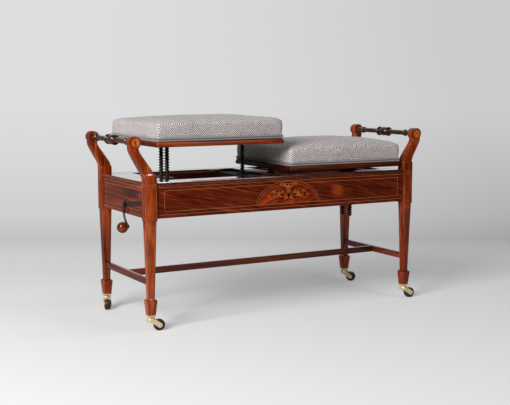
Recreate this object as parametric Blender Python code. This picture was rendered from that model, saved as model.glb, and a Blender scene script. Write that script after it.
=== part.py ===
"""Duet piano bench: a wooden frame on castors with two seats, each wound up and down by its own crank.

Metres, +Z up. The origin is on the floor under the middle of the bench, +X runs along it to the right and
-Y faces the front. The left seat stands raised and the right seat is down.
"""

import math

import bmesh
import bpy
from mathutils import Matrix, Vector

# Clearances
GAP = 0.0003  # between pieces that touch
RUNNING_GAP = 0.0004  # round a shaft, pin or screw that turns or slides

# Legs
LEG_SPACING_Y = 0.345
BLOCK_WIDTH = 0.034
LEG_HEAD_WIDTH = 0.030
ANKLE_WIDTH = 0.019
FOOT_TOP_WIDTH = 0.030
FOOT_BOTTOM_WIDTH = 0.0224
FOOT_HEIGHT = 0.0476
FOOT_SHOULDER = 0.004
LEG_TAPER_LENGTH = 0.2244
BLOCK_DROP = 0.0083  # the block's reach below the apron
STEP_CHAMFER = 0.0025

# Arms, one on top of each leg
# Outward from the leg's middle to the boss; the arms are shaped by hand, so they differ a little
ARM_LEANS = {"front_left": 0.047, "back_left": 0.039, "front_right": 0.035, "back_right": 0.047}
ARM_HEIGHT = 0.115  # from the rim to the boss
ARM_THICKNESS = 0.0255
ARM_NECK_WIDTH = 0.0255
ARM_BOSS_DIAMETER = 0.036
ARM_BOSS_STAND = 0.0015  # proud of the arm, on each face
ARM_BOSS_SIDES = 24
ARM_LEDGE_RISE = 0.0205  # of the leg's block above the rim
ARM_LEDGE_HEIGHT = 0.0045  # of the slope from the block back to the arm's own thickness
ARM_SLOPE = math.radians(32.5)  # of the arm's straight part, from upright
ARM_ELBOW_RISE = 0.0934  # above the rim, where the arm turns up again
ARM_OVERREACH = 0.08  # of the lean, the elbow's swing past the boss
ARM_TAPER_RISE = 0.038  # above the rim, where the arm starts to narrow
ARM_STRAIGHT = (0.30, 0.70)  # of the way from bend to bend, the part that stays straight
ARM_EASING = 2  # rounds of corner cutting along the arm's spine
ARM_CLEARANCE = 0.001  # least height between the sections and the edges of the ledge
CORNER_CUT = 0.25  # of each straight piece, at both of its ends

# Frame
APRON_HEIGHT = 0.0954
APRON_THICKNESS = 0.018
APRON_SETBACK = 0.004  # behind the block's face
RIM_THICKNESS = 0.009
RIM_OVERHANG = 0.002
RIM_SIDE_WIDTH = 0.0555
RIM_END_WIDTH = 0.090
RIM_CENTRE_WIDTH = 0.054
RIM_BEVEL = 0.0015
STRETCHER_MIDDLE = 0.142  # above the floor
STRETCHER_HEIGHT = 0.020
STRETCHER_THICKNESS = 0.014
STRETCHER_BEVEL = 0.002

# Turned hand rails
RAIL_DIAMETER = 0.016
RAIL_END_RING_DIAMETER = 0.022
RAIL_MIDDLE_RING_DIAMETER = 0.031
RAIL_BULB_DIAMETER = 0.0295
RAIL_RING_WIDTH = 0.009
RAIL_BULB_LENGTH = 0.040
RAIL_BULB_SHARE = 0.45  # of the bulb that has its full diameter
RAIL_RING_INSET = 0.040  # from the boss to the end ring
RAIL_SIDES = 12

# Castors
WHEEL_DIAMETER = 0.0334
WHEEL_WIDTH = 0.018
WHEEL_SIDES = 18
AXLE_DIAMETER = 0.005
CASTOR_TRAIL = 0.0245
CHEEK_THICKNESS = 0.0025
CHEEK_GAP = 0.0008  # beside the wheel
CHEEK_ROOT_WIDTH = 0.0190
CHEEK_EYE_DIAMETER = 0.0155  # of its round end
CHEEK_EYE_START = 60  # degrees above level, where the round end meets the upper edge
CHEEK_EYE_STEPS = 5
COLLAR_DIAMETER = 0.023
COLLAR_HEIGHT = 0.005
COLLAR_LIFT = 0.0006  # above the top of the wheel
CUP_DIAMETER = 0.0265
CUP_FOOT_DIAMETER = 0.0225
CUP_PLATE_WIDTH = 0.0285  # square, under the foot
CUP_PLATE_THICKNESS = 0.0026
CUP_HEIGHT = 0.0078
PINTLE_DIAMETER = 0.006
YOKE_DEPTH = 0.0075
YOKE_BACK = 0.0098  # behind the pintle
# Degrees from +X
CASTOR_HEADINGS = {"front_left": -8, "front_right": 0, "back_left": -108, "back_right": -48}

# Seats
SEAT_INNER_X = 0.0108
SEAT_LENGTH = 0.425
SEAT_END_GAP = 0.0052  # between a seat's outer end and the legs
SEAT_DEPTH = 0.358
SEAT_BOARD_THICKNESS = 0.0154
SEAT_BOARD_BEVEL = 0.003
SEAT_CORNER_RADIUS = 0.006
SEAT_REST_HEIGHT = 0.0102  # of a lowered seat above the rim
SEAT_LIFTS = {"left": 0.088, "right": 0.0}
CUSHION_SIDE = 0.059
CUSHION_CROWN = 0.015
CUSHION_INSET = 0.001
CUSHION_SHOULDER = 0.016
CUSHION_DRAW = 0.003  # how far the sides draw in between corners
BRAID_HEIGHT = 0.012
BRAID_STEP = 0.002  # the cushion's set-back above its braid

# Lifting screws and nuts
SCREW_DIAMETER = 0.0155
SCREW_CORE_DIAMETER = 0.0090
SCREW_PITCH = 0.0083
SCREW_STEPS = 8  # in a turn
OUTER_SCREW_INSET = 0.0988  # from the seat's outer end
INNER_SCREW_X = 0.0535
FRONT_SCREW_Y = -0.0305
SCREW_PAIR_SPACING = 0.041
OUTER_SCREW_LENGTH = 0.171
INNER_SCREW_LENGTH = 0.134
SCREW_FLANGE_DIAMETER = 0.034
SCREW_FLANGE_THICKNESS = 0.004
NUT_DIAMETER = 0.0215
NUT_FLANGE_DIAMETER = 0.032
SPUR_TEETH = 14
SPUR_THICKNESS = 0.006
ROUND_SIDES = 12

# Bevel gears, all alike, whose pitch cones meet on the screw's axis
BEVEL_RADIUS = 0.0165
BEVEL_FACE = 0.0055
BEVEL_TEETH = 10
BEVEL_HUB_DIAMETER = 0.018
BEVEL_HUB_LENGTH = 0.005
TOOTH_ADDENDUM = 0.70  # of the module
TOOTH_DEDENDUM = 0.98
TIP_SHARE = 0.24  # of the circular pitch, at the tip
ROOT_SHARE = 0.56

# Bridges that carry the nuts and shafts
BRIDGE_WIDTH = 0.062
BRIDGE_THICKNESS = 0.006
BRIDGE_LAP = 0.018  # under the rim
LUG_THICKNESS = 0.006
LUG_WIDTH = 0.024
LUG_DROP = 0.010  # below the shaft's middle
LAY_SHAFT_DIAMETER = 0.008

# Cranks
CRANK_HEIGHT = 0.0303  # of the shaft above the apron's lower edge
CRANK_SHAFT_DIAMETER = 0.009
CRANK_RADIUS = 0.076
CRANK_BOW = 0.024  # of the arm's curve, behind the straight line to its elbow
CRANK_BOW_SHARES = (0.24, 0.73)  # of the way down, where the curve's control points lie
CRANK_HANGS = {"left": math.radians(30.6), "right": math.radians(100)}  # forward of straight down
CRANK_ROD_DIAMETER = 0.0066
CRANK_BOSS_DIAMETER = 0.015
CRANK_BOSS_LENGTH = 0.008
CRANK_ROD_STEPS = 12
BUSH_DIAMETER = 0.016
BUSH_FLANGE_DIAMETER = 0.024
BUSH_FLANGE_THICKNESS = 0.0025
BALL_DIAMETER = 0.033
BALL_RINGS = 8
BALL_STANDOFF = 0.0215  # from the crank's arm to the ball's middle
SPINDLE_DIAMETER = 0.0056
SPINDLE_SHOULDER_DIAMETER = 0.009

# Heights, worked up from the floor
axle_z = WHEEL_DIAMETER / 2 * math.cos(math.pi / WHEEL_SIDES)
collar_z = axle_z + WHEEL_DIAMETER / 2 + COLLAR_LIFT
cup_z = collar_z + COLLAR_HEIGHT + GAP
foot_z = cup_z + CUP_HEIGHT + GAP
ankle_z = foot_z + FOOT_HEIGHT
step_z = ankle_z + LEG_TAPER_LENGTH
apron_z = step_z + BLOCK_DROP
rim_z = apron_z + APRON_HEIGHT + GAP
rim_top = rim_z + RIM_THICKNESS
boss_z = rim_top + ARM_HEIGHT
shaft_z = apron_z + CRANK_HEIGHT
bridge_top = rim_z - GAP
bridge_z = bridge_top - BRIDGE_THICKNESS
gear_z = bridge_top + GAP

# Places along and across
seat_end_x = SEAT_INNER_X + SEAT_LENGTH
outer_screw_x = seat_end_x - OUTER_SCREW_INSET
leg_x = seat_end_x + SEAT_END_GAP + BLOCK_WIDTH / 2
leg_y = LEG_SPACING_Y / 2
apron_face_x = leg_x + BLOCK_WIDTH / 2 - APRON_SETBACK
apron_face_y = leg_y + BLOCK_WIDTH / 2 - APRON_SETBACK
rail_end_x = leg_x - BLOCK_WIDTH / 2 - GAP  # where the long rails stop against the legs
rail_end_y = leg_y - BLOCK_WIDTH / 2 - GAP
rim_edge_x = apron_face_x + RIM_OVERHANG
rim_edge_y = apron_face_y + RIM_OVERHANG
well_x = rim_edge_x - RIM_END_WIDTH  # the opening inside the rim
well_y = rim_edge_y - RIM_SIDE_WIDTH
ledge_z = rim_top + ARM_LEDGE_RISE
arm_z = ledge_z + ARM_LEDGE_HEIGHT
taper_z = rim_top + ARM_TAPER_RISE
elbow_z = rim_top + ARM_ELBOW_RISE
arm_top_z = boss_z - ARM_BOSS_DIAMETER / 10
boss_half = ARM_THICKNESS / 2 + ARM_BOSS_STAND
back_screw_y = FRONT_SCREW_Y + SCREW_PAIR_SPACING

WOOD = ((0.20, 0.055, 0.025, 1), 0.30, 0.0)
IRON = ((0.03, 0.03, 0.032, 1), 0.45, 0.9)
BRASS = ((0.75, 0.62, 0.38, 1), 0.30, 1.0)
WHEEL = ((0.10, 0.06, 0.04, 1), 0.50, 0.0)
CLOTH = ((0.52, 0.50, 0.48, 1), 0.90, 0.0)
SIDES = {"left": -1, "right": 1}
ENDS = {"front": -1, "back": 1}


def finish(obj, look):
    colour, roughness, metallic = look
    material = bpy.data.materials.new(obj.name + "_finish")
    material.use_nodes = True
    shader = material.node_tree.nodes["Principled BSDF"]
    shader.inputs["Base Color"].default_value = colour
    shader.inputs["Roughness"].default_value = roughness
    shader.inputs["Metallic"].default_value = metallic
    obj.data.materials.append(material)


def add_object(name, bm, look=None, origin=(0, 0, 0)):
    """An object of this mesh, which is in world coordinates. It is a tool if it has no look."""
    bmesh.ops.recalc_face_normals(bm, faces=bm.faces)
    bmesh.ops.translate(bm, verts=bm.verts, vec=-Vector(origin))
    mesh = bpy.data.meshes.new(name)
    bm.to_mesh(mesh)
    bm.free()
    mesh.shade_smooth()
    mesh.set_sharp_from_angle(angle=math.radians(35))
    obj = bpy.data.objects.new(name, mesh)
    obj.location = origin
    bpy.context.collection.objects.link(obj)
    if look:
        finish(obj, look)
    else:
        obj.hide_render = True
        obj.display_type = "WIRE"
    return obj


def combine(obj, operation, tools):
    for tool in tools:
        modifier = obj.modifiers.new(tool.name, "BOOLEAN")
        modifier.operation = operation
        modifier.object = tool
        modifier.solver = "EXACT"


def join(obj, *tools):
    combine(obj, "UNION", tools)


def cut(obj, *tools):
    combine(obj, "DIFFERENCE", tools)


def bevel(obj, width):
    modifier = obj.modifiers.new("edges", "BEVEL")
    modifier.width = width
    modifier.segments = 1
    modifier.limit_method = "ANGLE"


def loft(loops, ring=False):
    """A closed skin through loops with equal numbers of points, capped at both ends or joined into a ring."""
    bm = bmesh.new()
    rows = [[bm.verts.new(point) for point in loop] for loop in loops]
    count = len(rows[0])
    pairs = list(zip(rows, rows[1:]))
    if ring:
        pairs.append((rows[-1], rows[0]))
    for lower, upper in pairs:
        for i in range(count):
            j = (i + 1) % count
            bm.faces.new((lower[i], lower[j], upper[j], upper[i]))
    if not ring:
        bm.faces.new(rows[0])
        bm.faces.new(rows[-1])
    return bm


def box(low, high):
    (x0, y0, z0), (x1, y1, z1) = low, high
    return loft([[(x0, y0, z), (x1, y0, z), (x1, y1, z), (x0, y1, z)] for z in (z0, z1)])


def slab(outline, z0, z1):
    return loft([[(x, y, z) for x, y in outline] for z in (z0, z1)])


def turned(profile, centre, axis, sides, ring=False, phase=0.0):
    """A lathe form: profile holds (radius, distance along the axis) from the centre."""
    frame = Vector(axis).to_track_quat("Z", "Y").to_matrix()
    angles = [phase + 2 * math.pi * i / sides for i in range(sides)]
    loops = [
        [Vector(centre) + frame @ Vector((r * math.cos(a), r * math.sin(a), h)) for a in angles]
        for r, h in profile
    ]
    return loft(loops, ring)


def rod(start, end, diameter, sides=ROUND_SIDES):
    along = Vector(end) - Vector(start)
    radius = diameter / 2
    return turned([(radius, 0), (radius, along.length)], start, along, sides)


def tube(points, diameter, sides=8):
    """A round bar along points that lie in one plane square to X."""
    loops = []
    points = [Vector(point) for point in points]
    for i, point in enumerate(points):
        along = (points[min(i + 1, len(points) - 1)] - points[max(i - 1, 0)]).normalized()
        out = Vector((1, 0, 0))
        across = along.cross(out)
        angles = [2 * math.pi * k / sides for k in range(sides)]
        loops.append([point + (out * math.cos(a) + across * math.sin(a)) * diameter / 2 for a in angles])
    return loft(loops)


def bezier(points, t):
    a, b, c, d = (Vector(point) for point in points)
    s = 1 - t
    return a * s**3 + b * (3 * s * s * t) + c * (3 * s * t * t) + d * t**3


def eased(points, rounds):
    """An open line with its corners cut off, round by round."""
    for _ in range(rounds):
        inside = []
        for a, b in zip(points, points[1:]):
            inside += [a.lerp(b, CORNER_CUT), a.lerp(b, 1 - CORNER_CUT)]
        points = [points[0], *inside, points[-1]]
    return points


def rounded_rectangle(x0, x1, y0, y1, radius, corner_steps, side_points=0, draw=0.0):
    """Points round a rectangle; draw pulls the middle of each side in."""
    corners = [(x1, y1, 0), (x0, y1, 90), (x0, y0, 180), (x1, y0, 270)]
    arcs = []
    for x, y, start in corners:
        cx = x - math.copysign(radius, x - (x0 + x1) / 2)
        cy = y - math.copysign(radius, y - (y0 + y1) / 2)
        turns = [math.radians(start + 90 * k / corner_steps) for k in range(corner_steps + 1)]
        arcs.append([Vector((cx + radius * math.cos(a), cy + radius * math.sin(a))) for a in turns])
    outline = []
    for i, arc in enumerate(arcs):
        outline += arc
        first, last = arc[-1], arcs[(i + 1) % 4][0]
        inward = Vector((-(last - first).y, (last - first).x)).normalized()
        for k in range(1, side_points + 1):
            t = k / (side_points + 1)
            outline.append(first.lerp(last, t) + inward * draw * 4 * t * (1 - t))
    return outline


def gear_angles(teeth, phase):
    """Four angles for each tooth, root, tip, tip and root, with a tooth's middle at phase."""
    step = 2 * math.pi / teeth
    shares = (-ROOT_SHARE / 2, -TIP_SHARE / 2, TIP_SHARE / 2, ROOT_SHARE / 2)
    return [(phase + step * (i + share), k in (1, 2)) for i in range(teeth) for k, share in enumerate(shares)]


def spur_gear(x, y, teeth, radius, z0, z1, phase):
    module = 2 * radius / teeth
    tip = radius + TOOTH_ADDENDUM * module
    root = radius - TOOTH_DEDENDUM * module
    outline = []
    for angle, on_tip in gear_angles(teeth, phase):
        r = tip if on_tip else root
        outline.append((x + r * math.cos(angle), y + r * math.sin(angle)))
    return slab(outline, z0, z1)


def bevel_gear(apex, axis, side, phase):
    """A mitre gear whose pitch cone opens from apex along axis. Angles run from side round the axis."""
    axis, side = Vector(axis), Vector(side)
    third = axis.cross(side)
    module = 2 * BEVEL_RADIUS / BEVEL_TEETH
    lean = math.sqrt(0.5)
    tip = (BEVEL_RADIUS + TOOTH_ADDENDUM * module * lean, BEVEL_RADIUS - TOOTH_ADDENDUM * module * lean)
    root = (BEVEL_RADIUS - TOOTH_DEDENDUM * module * lean, BEVEL_RADIUS + TOOTH_DEDENDUM * module * lean)
    small = (BEVEL_RADIUS - BEVEL_FACE) / BEVEL_RADIUS
    bm = bmesh.new()
    rows = []
    for scale in (1, small):
        row = []
        for angle, on_tip in gear_angles(BEVEL_TEETH, phase):
            r, h = tip if on_tip else root
            spoke = side * math.cos(angle) + third * math.sin(angle)
            row.append(bm.verts.new(Vector(apex) + (spoke * r + axis * h) * scale))
        rows.append(row)
    large_hub, small_hub = (bm.verts.new(Vector(apex) + axis * root[1] * scale) for scale in (1, small))
    count = len(rows[0])
    for i in range(count):
        j = (i + 1) % count
        bm.faces.new((rows[0][i], rows[0][j], rows[1][j], rows[1][i]))
        bm.faces.new((rows[0][j], rows[0][i], large_hub))
        bm.faces.new((rows[1][i], rows[1][j], small_hub))
    return bm


bevel_module = 2 * BEVEL_RADIUS / BEVEL_TEETH
bevel_back = BEVEL_RADIUS + TOOTH_DEDENDUM * bevel_module * math.sqrt(0.5)  # from the apex to the gear's back
hub_end = bevel_back + BEVEL_HUB_LENGTH
lug_start = hub_end + GAP
half_tooth = math.pi / BEVEL_TEETH
shaft_start = BEVEL_RADIUS - BEVEL_FACE / 4  # inside the pinion


def leg_width(z):
    return ANKLE_WIDTH + (LEG_HEAD_WIDTH - ANKLE_WIDTH) * (z - ankle_z) / LEG_TAPER_LENGTH


def oblong(x, y, width, depth, z):
    w, d = width / 2, depth / 2
    return [(x - w, y - d, z), (x + w, y - d, z), (x + w, y + d, z), (x - w, y + d, z)]


def square(x, y, width, z):
    return oblong(x, y, width, width, z)


def spine_at(spine, z):
    """How far out a rising line is at a height."""
    for a, b in zip(spine, spine[1:]):
        if z <= b.z:
            return a.lerp(b, (z - a.z) / (b.z - a.z)).x
    return spine[-1].x


def arm_sections(sx, y, lean):
    """Level sections of the scrolled arm from the rim up, along a spine with two eased bends."""
    reach = lean * (1 + ARM_OVERREACH)
    knee_z = max(rim_top, elbow_z - reach / math.tan(ARM_SLOPE))
    knee, elbow = Vector((0, 0, knee_z)), Vector((reach, 0, elbow_z))
    straight = [knee.lerp(elbow, share) for share in ARM_STRAIGHT]
    spine = eased([Vector((0, 0, rim_top)), knee, *straight, elbow, Vector((lean, 0, arm_top_z))], ARM_EASING)
    below = [p.z for p in spine if rim_top + ARM_CLEARANCE < p.z < ledge_z - ARM_CLEARANCE]
    above = [p.z for p in spine if p.z > arm_z + ARM_CLEARANCE]
    loops = []
    for z in [*below, ledge_z, arm_z, *above]:
        share = min(1, max(0, (z - taper_z) / (elbow_z - taper_z)))
        width = BLOCK_WIDTH + (ARM_NECK_WIDTH - BLOCK_WIDTH) * share
        depth = ARM_THICKNESS if z > ledge_z else BLOCK_WIDTH
        loops.append(oblong(sx * (leg_x + spine_at(spine, z)), y, width, depth, z))
    return loops


def make_leg(end, side):
    sx, sy = SIDES[side], ENDS[end]
    x, y = sx * leg_x, sy * leg_y
    sizes = [
        (FOOT_BOTTOM_WIDTH, foot_z),
        (FOOT_TOP_WIDTH, ankle_z - FOOT_SHOULDER),
        (ANKLE_WIDTH, ankle_z),
        (LEG_HEAD_WIDTH, step_z),
        (BLOCK_WIDTH, step_z + STEP_CHAMFER),
        (BLOCK_WIDTH, rim_top),
    ]
    lean = ARM_LEANS[f"{end}_{side}"]
    loops = [square(x, y, w, z) for w, z in sizes] + arm_sections(sx, y, lean)
    leg = add_object(f"leg_{end}_{side}", loft(loops), WOOD)
    front = Vector((sx * (leg_x + lean), y - boss_half, boss_z))
    boss = rod(front, front + Vector((0, 2 * boss_half, 0)), ARM_BOSS_DIAMETER, ARM_BOSS_SIDES)
    join(leg, add_object(f"arm_boss_{end}_{side}_tool", boss))


def make_aprons():
    for end, sy in ENDS.items():
        faces = sorted((sy * apron_face_y, sy * (apron_face_y - APRON_THICKNESS)))
        bm = box((-rail_end_x, faces[0], apron_z), (rail_end_x, faces[1], apron_z + APRON_HEIGHT))
        add_object(f"apron_{end}", bm, WOOD)
    for side, sx in SIDES.items():
        faces = sorted((sx * apron_face_x, sx * (apron_face_x - APRON_THICKNESS)))
        bm = box((faces[0], -rail_end_y, apron_z), (faces[1], rail_end_y, apron_z + APRON_HEIGHT))
        apron = add_object(f"apron_{side}", bm, WOOD)
        start = (sx * (apron_face_x - 2 * APRON_THICKNESS), FRONT_SCREW_Y, shaft_z)
        end = (sx * (apron_face_x + APRON_THICKNESS), FRONT_SCREW_Y, shaft_z)
        cut(apron, add_object(f"apron_{side}_hole", rod(start, end, BUSH_DIAMETER + 2 * GAP)))


def make_rim():
    for end, sy in ENDS.items():
        edges = sorted((sy * rim_edge_y, sy * well_y))
        bm = box((-rail_end_x, edges[0], rim_z), (rail_end_x, edges[1], rim_top))
        bevel(add_object(f"rim_{end}", bm, WOOD), RIM_BEVEL)
    inner_y = well_y - GAP
    for side, sx in SIDES.items():
        half = [(rim_edge_x, rail_end_y), (rail_end_x, rail_end_y), (rail_end_x, inner_y), (well_x, inner_y)]
        outline = [(sx * x, y) for x, y in half] + [(sx * x, -y) for x, y in reversed(half)]
        bevel(add_object(f"rim_{side}", slab(outline, rim_z, rim_top), WOOD), RIM_BEVEL)
    half = RIM_CENTRE_WIDTH / 2
    bm = box((-half, -inner_y, rim_z), (half, inner_y, rim_top))
    bevel(add_object("rim_centre", bm, WOOD), RIM_BEVEL)


def make_stretchers():
    low, high = STRETCHER_MIDDLE - STRETCHER_HEIGHT / 2, STRETCHER_MIDDLE + STRETCHER_HEIGHT / 2
    reach = leg_y - leg_width(high) / 2 - GAP
    half = STRETCHER_THICKNESS / 2
    for side, sx in SIDES.items():
        bm = box((sx * leg_x - half, -reach, low), (sx * leg_x + half, reach, high))
        bevel(add_object(f"stretcher_{side}", bm, WOOD), STRETCHER_BEVEL)
    reach = leg_x - half - GAP
    bevel(add_object("stretcher_long", box((-reach, -half, low), (reach, half, high)), WOOD), STRETCHER_BEVEL)


def make_hand_rail(side):
    length = 2 * (leg_y - boss_half - GAP)
    plain, bulb = RAIL_DIAMETER / 2, RAIL_BULB_DIAMETER / 2
    end_ring, middle_ring = RAIL_END_RING_DIAMETER / 2, RAIL_MIDDLE_RING_DIAMETER / 2
    half_ring = RAIL_RING_WIDTH / 2
    ring_middle = length / 2 - RAIL_RING_INSET
    bulb_half = RAIL_BULB_LENGTH / 2
    half = [
        (plain, length / 2),
        (plain, ring_middle + half_ring),
        (end_ring, ring_middle),
        (plain, ring_middle - half_ring),
        (plain, bulb_half + 2 * half_ring),
        (middle_ring, bulb_half + half_ring),
        (plain, bulb_half),
        (bulb, bulb_half * RAIL_BULB_SHARE),
    ]
    profile = [(r, -h) for r, h in half] + [(r, h) for r, h in reversed(half)]
    lean = sum(ARM_LEANS[f"{end}_{side}"] for end in ENDS) / len(ENDS)
    centre = (SIDES[side] * (leg_x + lean), 0, boss_z)
    add_object(f"hand_rail_{side}", turned(profile, centre, (0, 1, 0), RAIL_SIDES), WOOD)


def make_castor(end, side):
    name = f"{end}_{side}"
    x, y = SIDES[side] * leg_x, ENDS[end] * leg_y
    heading = Matrix.Rotation(math.radians(CASTOR_HEADINGS[name]), 4, "Z")
    place = Matrix.Translation((x, y, 0)) @ heading
    pintle = PINTLE_DIAMETER / 2
    bore = pintle + RUNNING_GAP
    cup_top = cup_z + CUP_HEIGHT
    plate_z = cup_top - CUP_PLATE_THICKNESS
    yoke_z = collar_z - YOKE_DEPTH
    profile = [
        (pintle, yoke_z + GAP),
        (pintle, cup_z),
        (CUP_FOOT_DIAMETER / 2, cup_z),
        (CUP_DIAMETER / 2, cup_top - CUP_PLATE_THICKNESS / 2),
    ]
    socket = add_object(f"castor_cup_{name}", turned(profile, (x, y, 0), (0, 0, 1), ROUND_SIDES), BRASS)
    plate = loft([square(x, y, CUP_PLATE_WIDTH, z) for z in (plate_z, cup_top)])
    join(socket, add_object(f"castor_plate_{name}_tool", plate))

    def placed(bm):
        bmesh.ops.transform(bm, matrix=place, verts=bm.verts)
        return bm

    cheek_in = WHEEL_WIDTH / 2 + CHEEK_GAP
    cheek_out = cheek_in + CHEEK_THICKNESS
    collar = COLLAR_DIAMETER / 2
    origin = (x, y, collar_z)
    bm = placed(turned([(collar, 0), (collar, COLLAR_HEIGHT)], (0, 0, collar_z), (0, 0, 1), ROUND_SIDES))
    fork = add_object(f"castor_fork_{name}", bm, BRASS, origin)
    clear = CASTOR_TRAIL - math.sqrt((WHEEL_DIAMETER / 2 + CHEEK_GAP) ** 2 - (yoke_z - axle_z) ** 2)
    overlap = COLLAR_HEIGHT / 2
    yoke = box((-YOKE_BACK, -cheek_out, yoke_z), (clear, cheek_out, collar_z + overlap))
    tools = [add_object(f"castor_yoke_{name}_tool", placed(yoke))]
    eye, root = CHEEK_EYE_DIAMETER / 2, CHEEK_ROOT_WIDTH / 2
    outline = [(-root, yoke_z), (-root, collar_z + overlap), (root, collar_z + overlap)]
    for i in range(CHEEK_EYE_STEPS):
        turn = math.radians(CHEEK_EYE_START - 180 * i / (CHEEK_EYE_STEPS - 1))
        outline.append((CASTOR_TRAIL + eye * math.cos(turn), axle_z + eye * math.sin(turn)))
    for tag, sign in (("a", -1), ("b", 1)):
        cheek = loft([[(px, sign * d, pz) for px, pz in outline] for d in (cheek_in, cheek_out)])
        tools.append(add_object(f"castor_cheek_{name}_{tag}_tool", placed(cheek)))
    reach = cheek_out + CHEEK_GAP
    pin = rod((CASTOR_TRAIL, -reach, axle_z), (CASTOR_TRAIL, reach, axle_z), AXLE_DIAMETER, 12)
    tools.append(add_object(f"castor_axle_{name}_tool", placed(pin)))
    join(fork, *tools)
    hole = rod((x, y, yoke_z - YOKE_DEPTH), (x, y, cup_z + CUP_HEIGHT), 2 * bore, 12)
    cut(fork, add_object(f"castor_hole_{name}_tool", hole))
    radius, half = WHEEL_DIAMETER / 2, WHEEL_WIDTH / 2
    hole = AXLE_DIAMETER / 2 + RUNNING_GAP
    profile = [(hole, -half), (radius * 0.86, -half), (radius, -half * 0.5), (radius, half * 0.5)]
    profile += [(radius * 0.86, half), (hole, half)]
    phase = math.pi / WHEEL_SIDES
    bm = placed(turned(profile, (CASTOR_TRAIL, 0, axle_z), (0, 1, 0), WHEEL_SIDES, ring=True, phase=phase))
    add_object(f"castor_wheel_{name}", bm, WHEEL, place @ Vector((CASTOR_TRAIL, 0, axle_z)))


def screw_places(side):
    sx = SIDES[side]
    return {
        "front": (sx * outer_screw_x, FRONT_SCREW_Y, OUTER_SCREW_LENGTH, 1),
        "back": (sx * outer_screw_x, back_screw_y, OUTER_SCREW_LENGTH, -1),
        "inner": (sx * INNER_SCREW_X, back_screw_y, INNER_SCREW_LENGTH, 1),
    }


def screw_thread(x, y, z0, length, hand):
    """A V thread as one skin: roots and crests wind up together, and both ends close on the axis."""
    bm = bmesh.new()
    steps = round(length / SCREW_PITCH * SCREW_STEPS) - SCREW_STEPS
    rise = length / (steps + SCREW_STEPS)

    def point(i, radius, lift):
        a = hand * 2 * math.pi * i / SCREW_STEPS
        return bm.verts.new((x + radius * math.cos(a), y + radius * math.sin(a), z0 + rise * i + lift))

    roots = [point(i, SCREW_CORE_DIAMETER / 2, 0) for i in range(steps + SCREW_STEPS + 1)]
    crests = [point(i, SCREW_DIAMETER / 2, rise * SCREW_STEPS / 2) for i in range(steps + 1)]
    for i in range(steps):
        above = i + SCREW_STEPS
        bm.faces.new((roots[i], roots[i + 1], crests[i + 1], crests[i]))
        bm.faces.new((crests[i], crests[i + 1], roots[above + 1], roots[above]))
    for loop, z in ((roots[: SCREW_STEPS + 1], z0), (roots[-SCREW_STEPS - 1 :], z0 + length)):
        hub = bm.verts.new((x, y, z))
        loop = loop + [crests[0] if loop[0] is roots[0] else crests[-1]]
        for i, vertex in enumerate(loop):
            bm.faces.new((vertex, loop[(i + 1) % len(loop)], hub))
    return bm


def seat_span(side):
    return sorted(SIDES[side] * x for x in (SEAT_INNER_X, seat_end_x))


def make_seat(side):
    seat_z = rim_top + SEAT_REST_HEIGHT + SEAT_LIFTS[side]
    x0, x1 = seat_span(side)
    half = SEAT_DEPTH / 2
    edge = SEAT_BOARD_BEVEL
    board_top = seat_z + SEAT_BOARD_THICKNESS
    origin = ((x0 + x1) / 2, 0, seat_z)
    loops = []
    for inset, z in ((edge / 2, seat_z), (0, seat_z + edge / 2), (0, board_top - edge), (edge, board_top)):
        sides = (x0 + inset, x1 - inset, -half + inset, half - inset)
        loops.append([(x, y, z) for x, y in rounded_rectangle(*sides, SEAT_CORNER_RADIUS, 2)])
    add_object(f"seat_board_{side}", loft(loops), WOOD, origin)

    base = board_top + GAP
    step = BRAID_STEP
    shoulder = CUSHION_SHOULDER
    profile = [  # inset, height, corner radius
        (0.0, 0.0, SEAT_CORNER_RADIUS),
        (0.0, BRAID_HEIGHT, SEAT_CORNER_RADIUS),
        (step, BRAID_HEIGHT + step / 2, SEAT_CORNER_RADIUS),
        (step / 2, CUSHION_SIDE * 0.6, SEAT_CORNER_RADIUS * 1.5),
        (step, CUSHION_SIDE - shoulder, SEAT_CORNER_RADIUS * 2),
        (step + shoulder * 0.3, CUSHION_SIDE - shoulder * 0.3, SEAT_CORNER_RADIUS * 3),
        (step + shoulder, CUSHION_SIDE, SEAT_CORNER_RADIUS * 4),
    ]
    rings = 4
    reach = half * 0.86 - shoulder
    for i in range(1, rings + 1):
        share = i / rings
        rise = CUSHION_CROWN * (1 - (1 - share) ** 2)
        radius = SEAT_CORNER_RADIUS * 4 * (1 - share * 0.8)
        profile.append((step + shoulder + reach * share, CUSHION_SIDE + rise, radius))
    loops = []
    for inset, rise, radius in profile:
        inset += CUSHION_INSET
        sides = (x0 + inset, x1 - inset, -half + inset, half - inset)
        draw = CUSHION_DRAW * min(1, rise / BRAID_HEIGHT * 0.5) if rise < CUSHION_SIDE else 0
        outline = rounded_rectangle(*sides, radius, 2, 5, draw)
        loops.append([(x, y, base + rise) for x, y in outline])
    add_object(f"cushion_{side}", loft(loops), CLOTH, origin)

    flange_z = seat_z - GAP - SCREW_FLANGE_THICKNESS
    for place, (x, y, length, hand) in screw_places(side).items():
        bm = screw_thread(x, y, flange_z - length, length + SCREW_FLANGE_THICKNESS / 2, hand)
        screw = add_object(f"lift_screw_{place}_{side}", bm, IRON, (x, y, seat_z))
        flange = rod((x, y, flange_z), (x, y, seat_z - GAP), SCREW_FLANGE_DIAMETER)
        join(screw, add_object(f"screw_flange_{place}_{side}_tool", flange))


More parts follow.
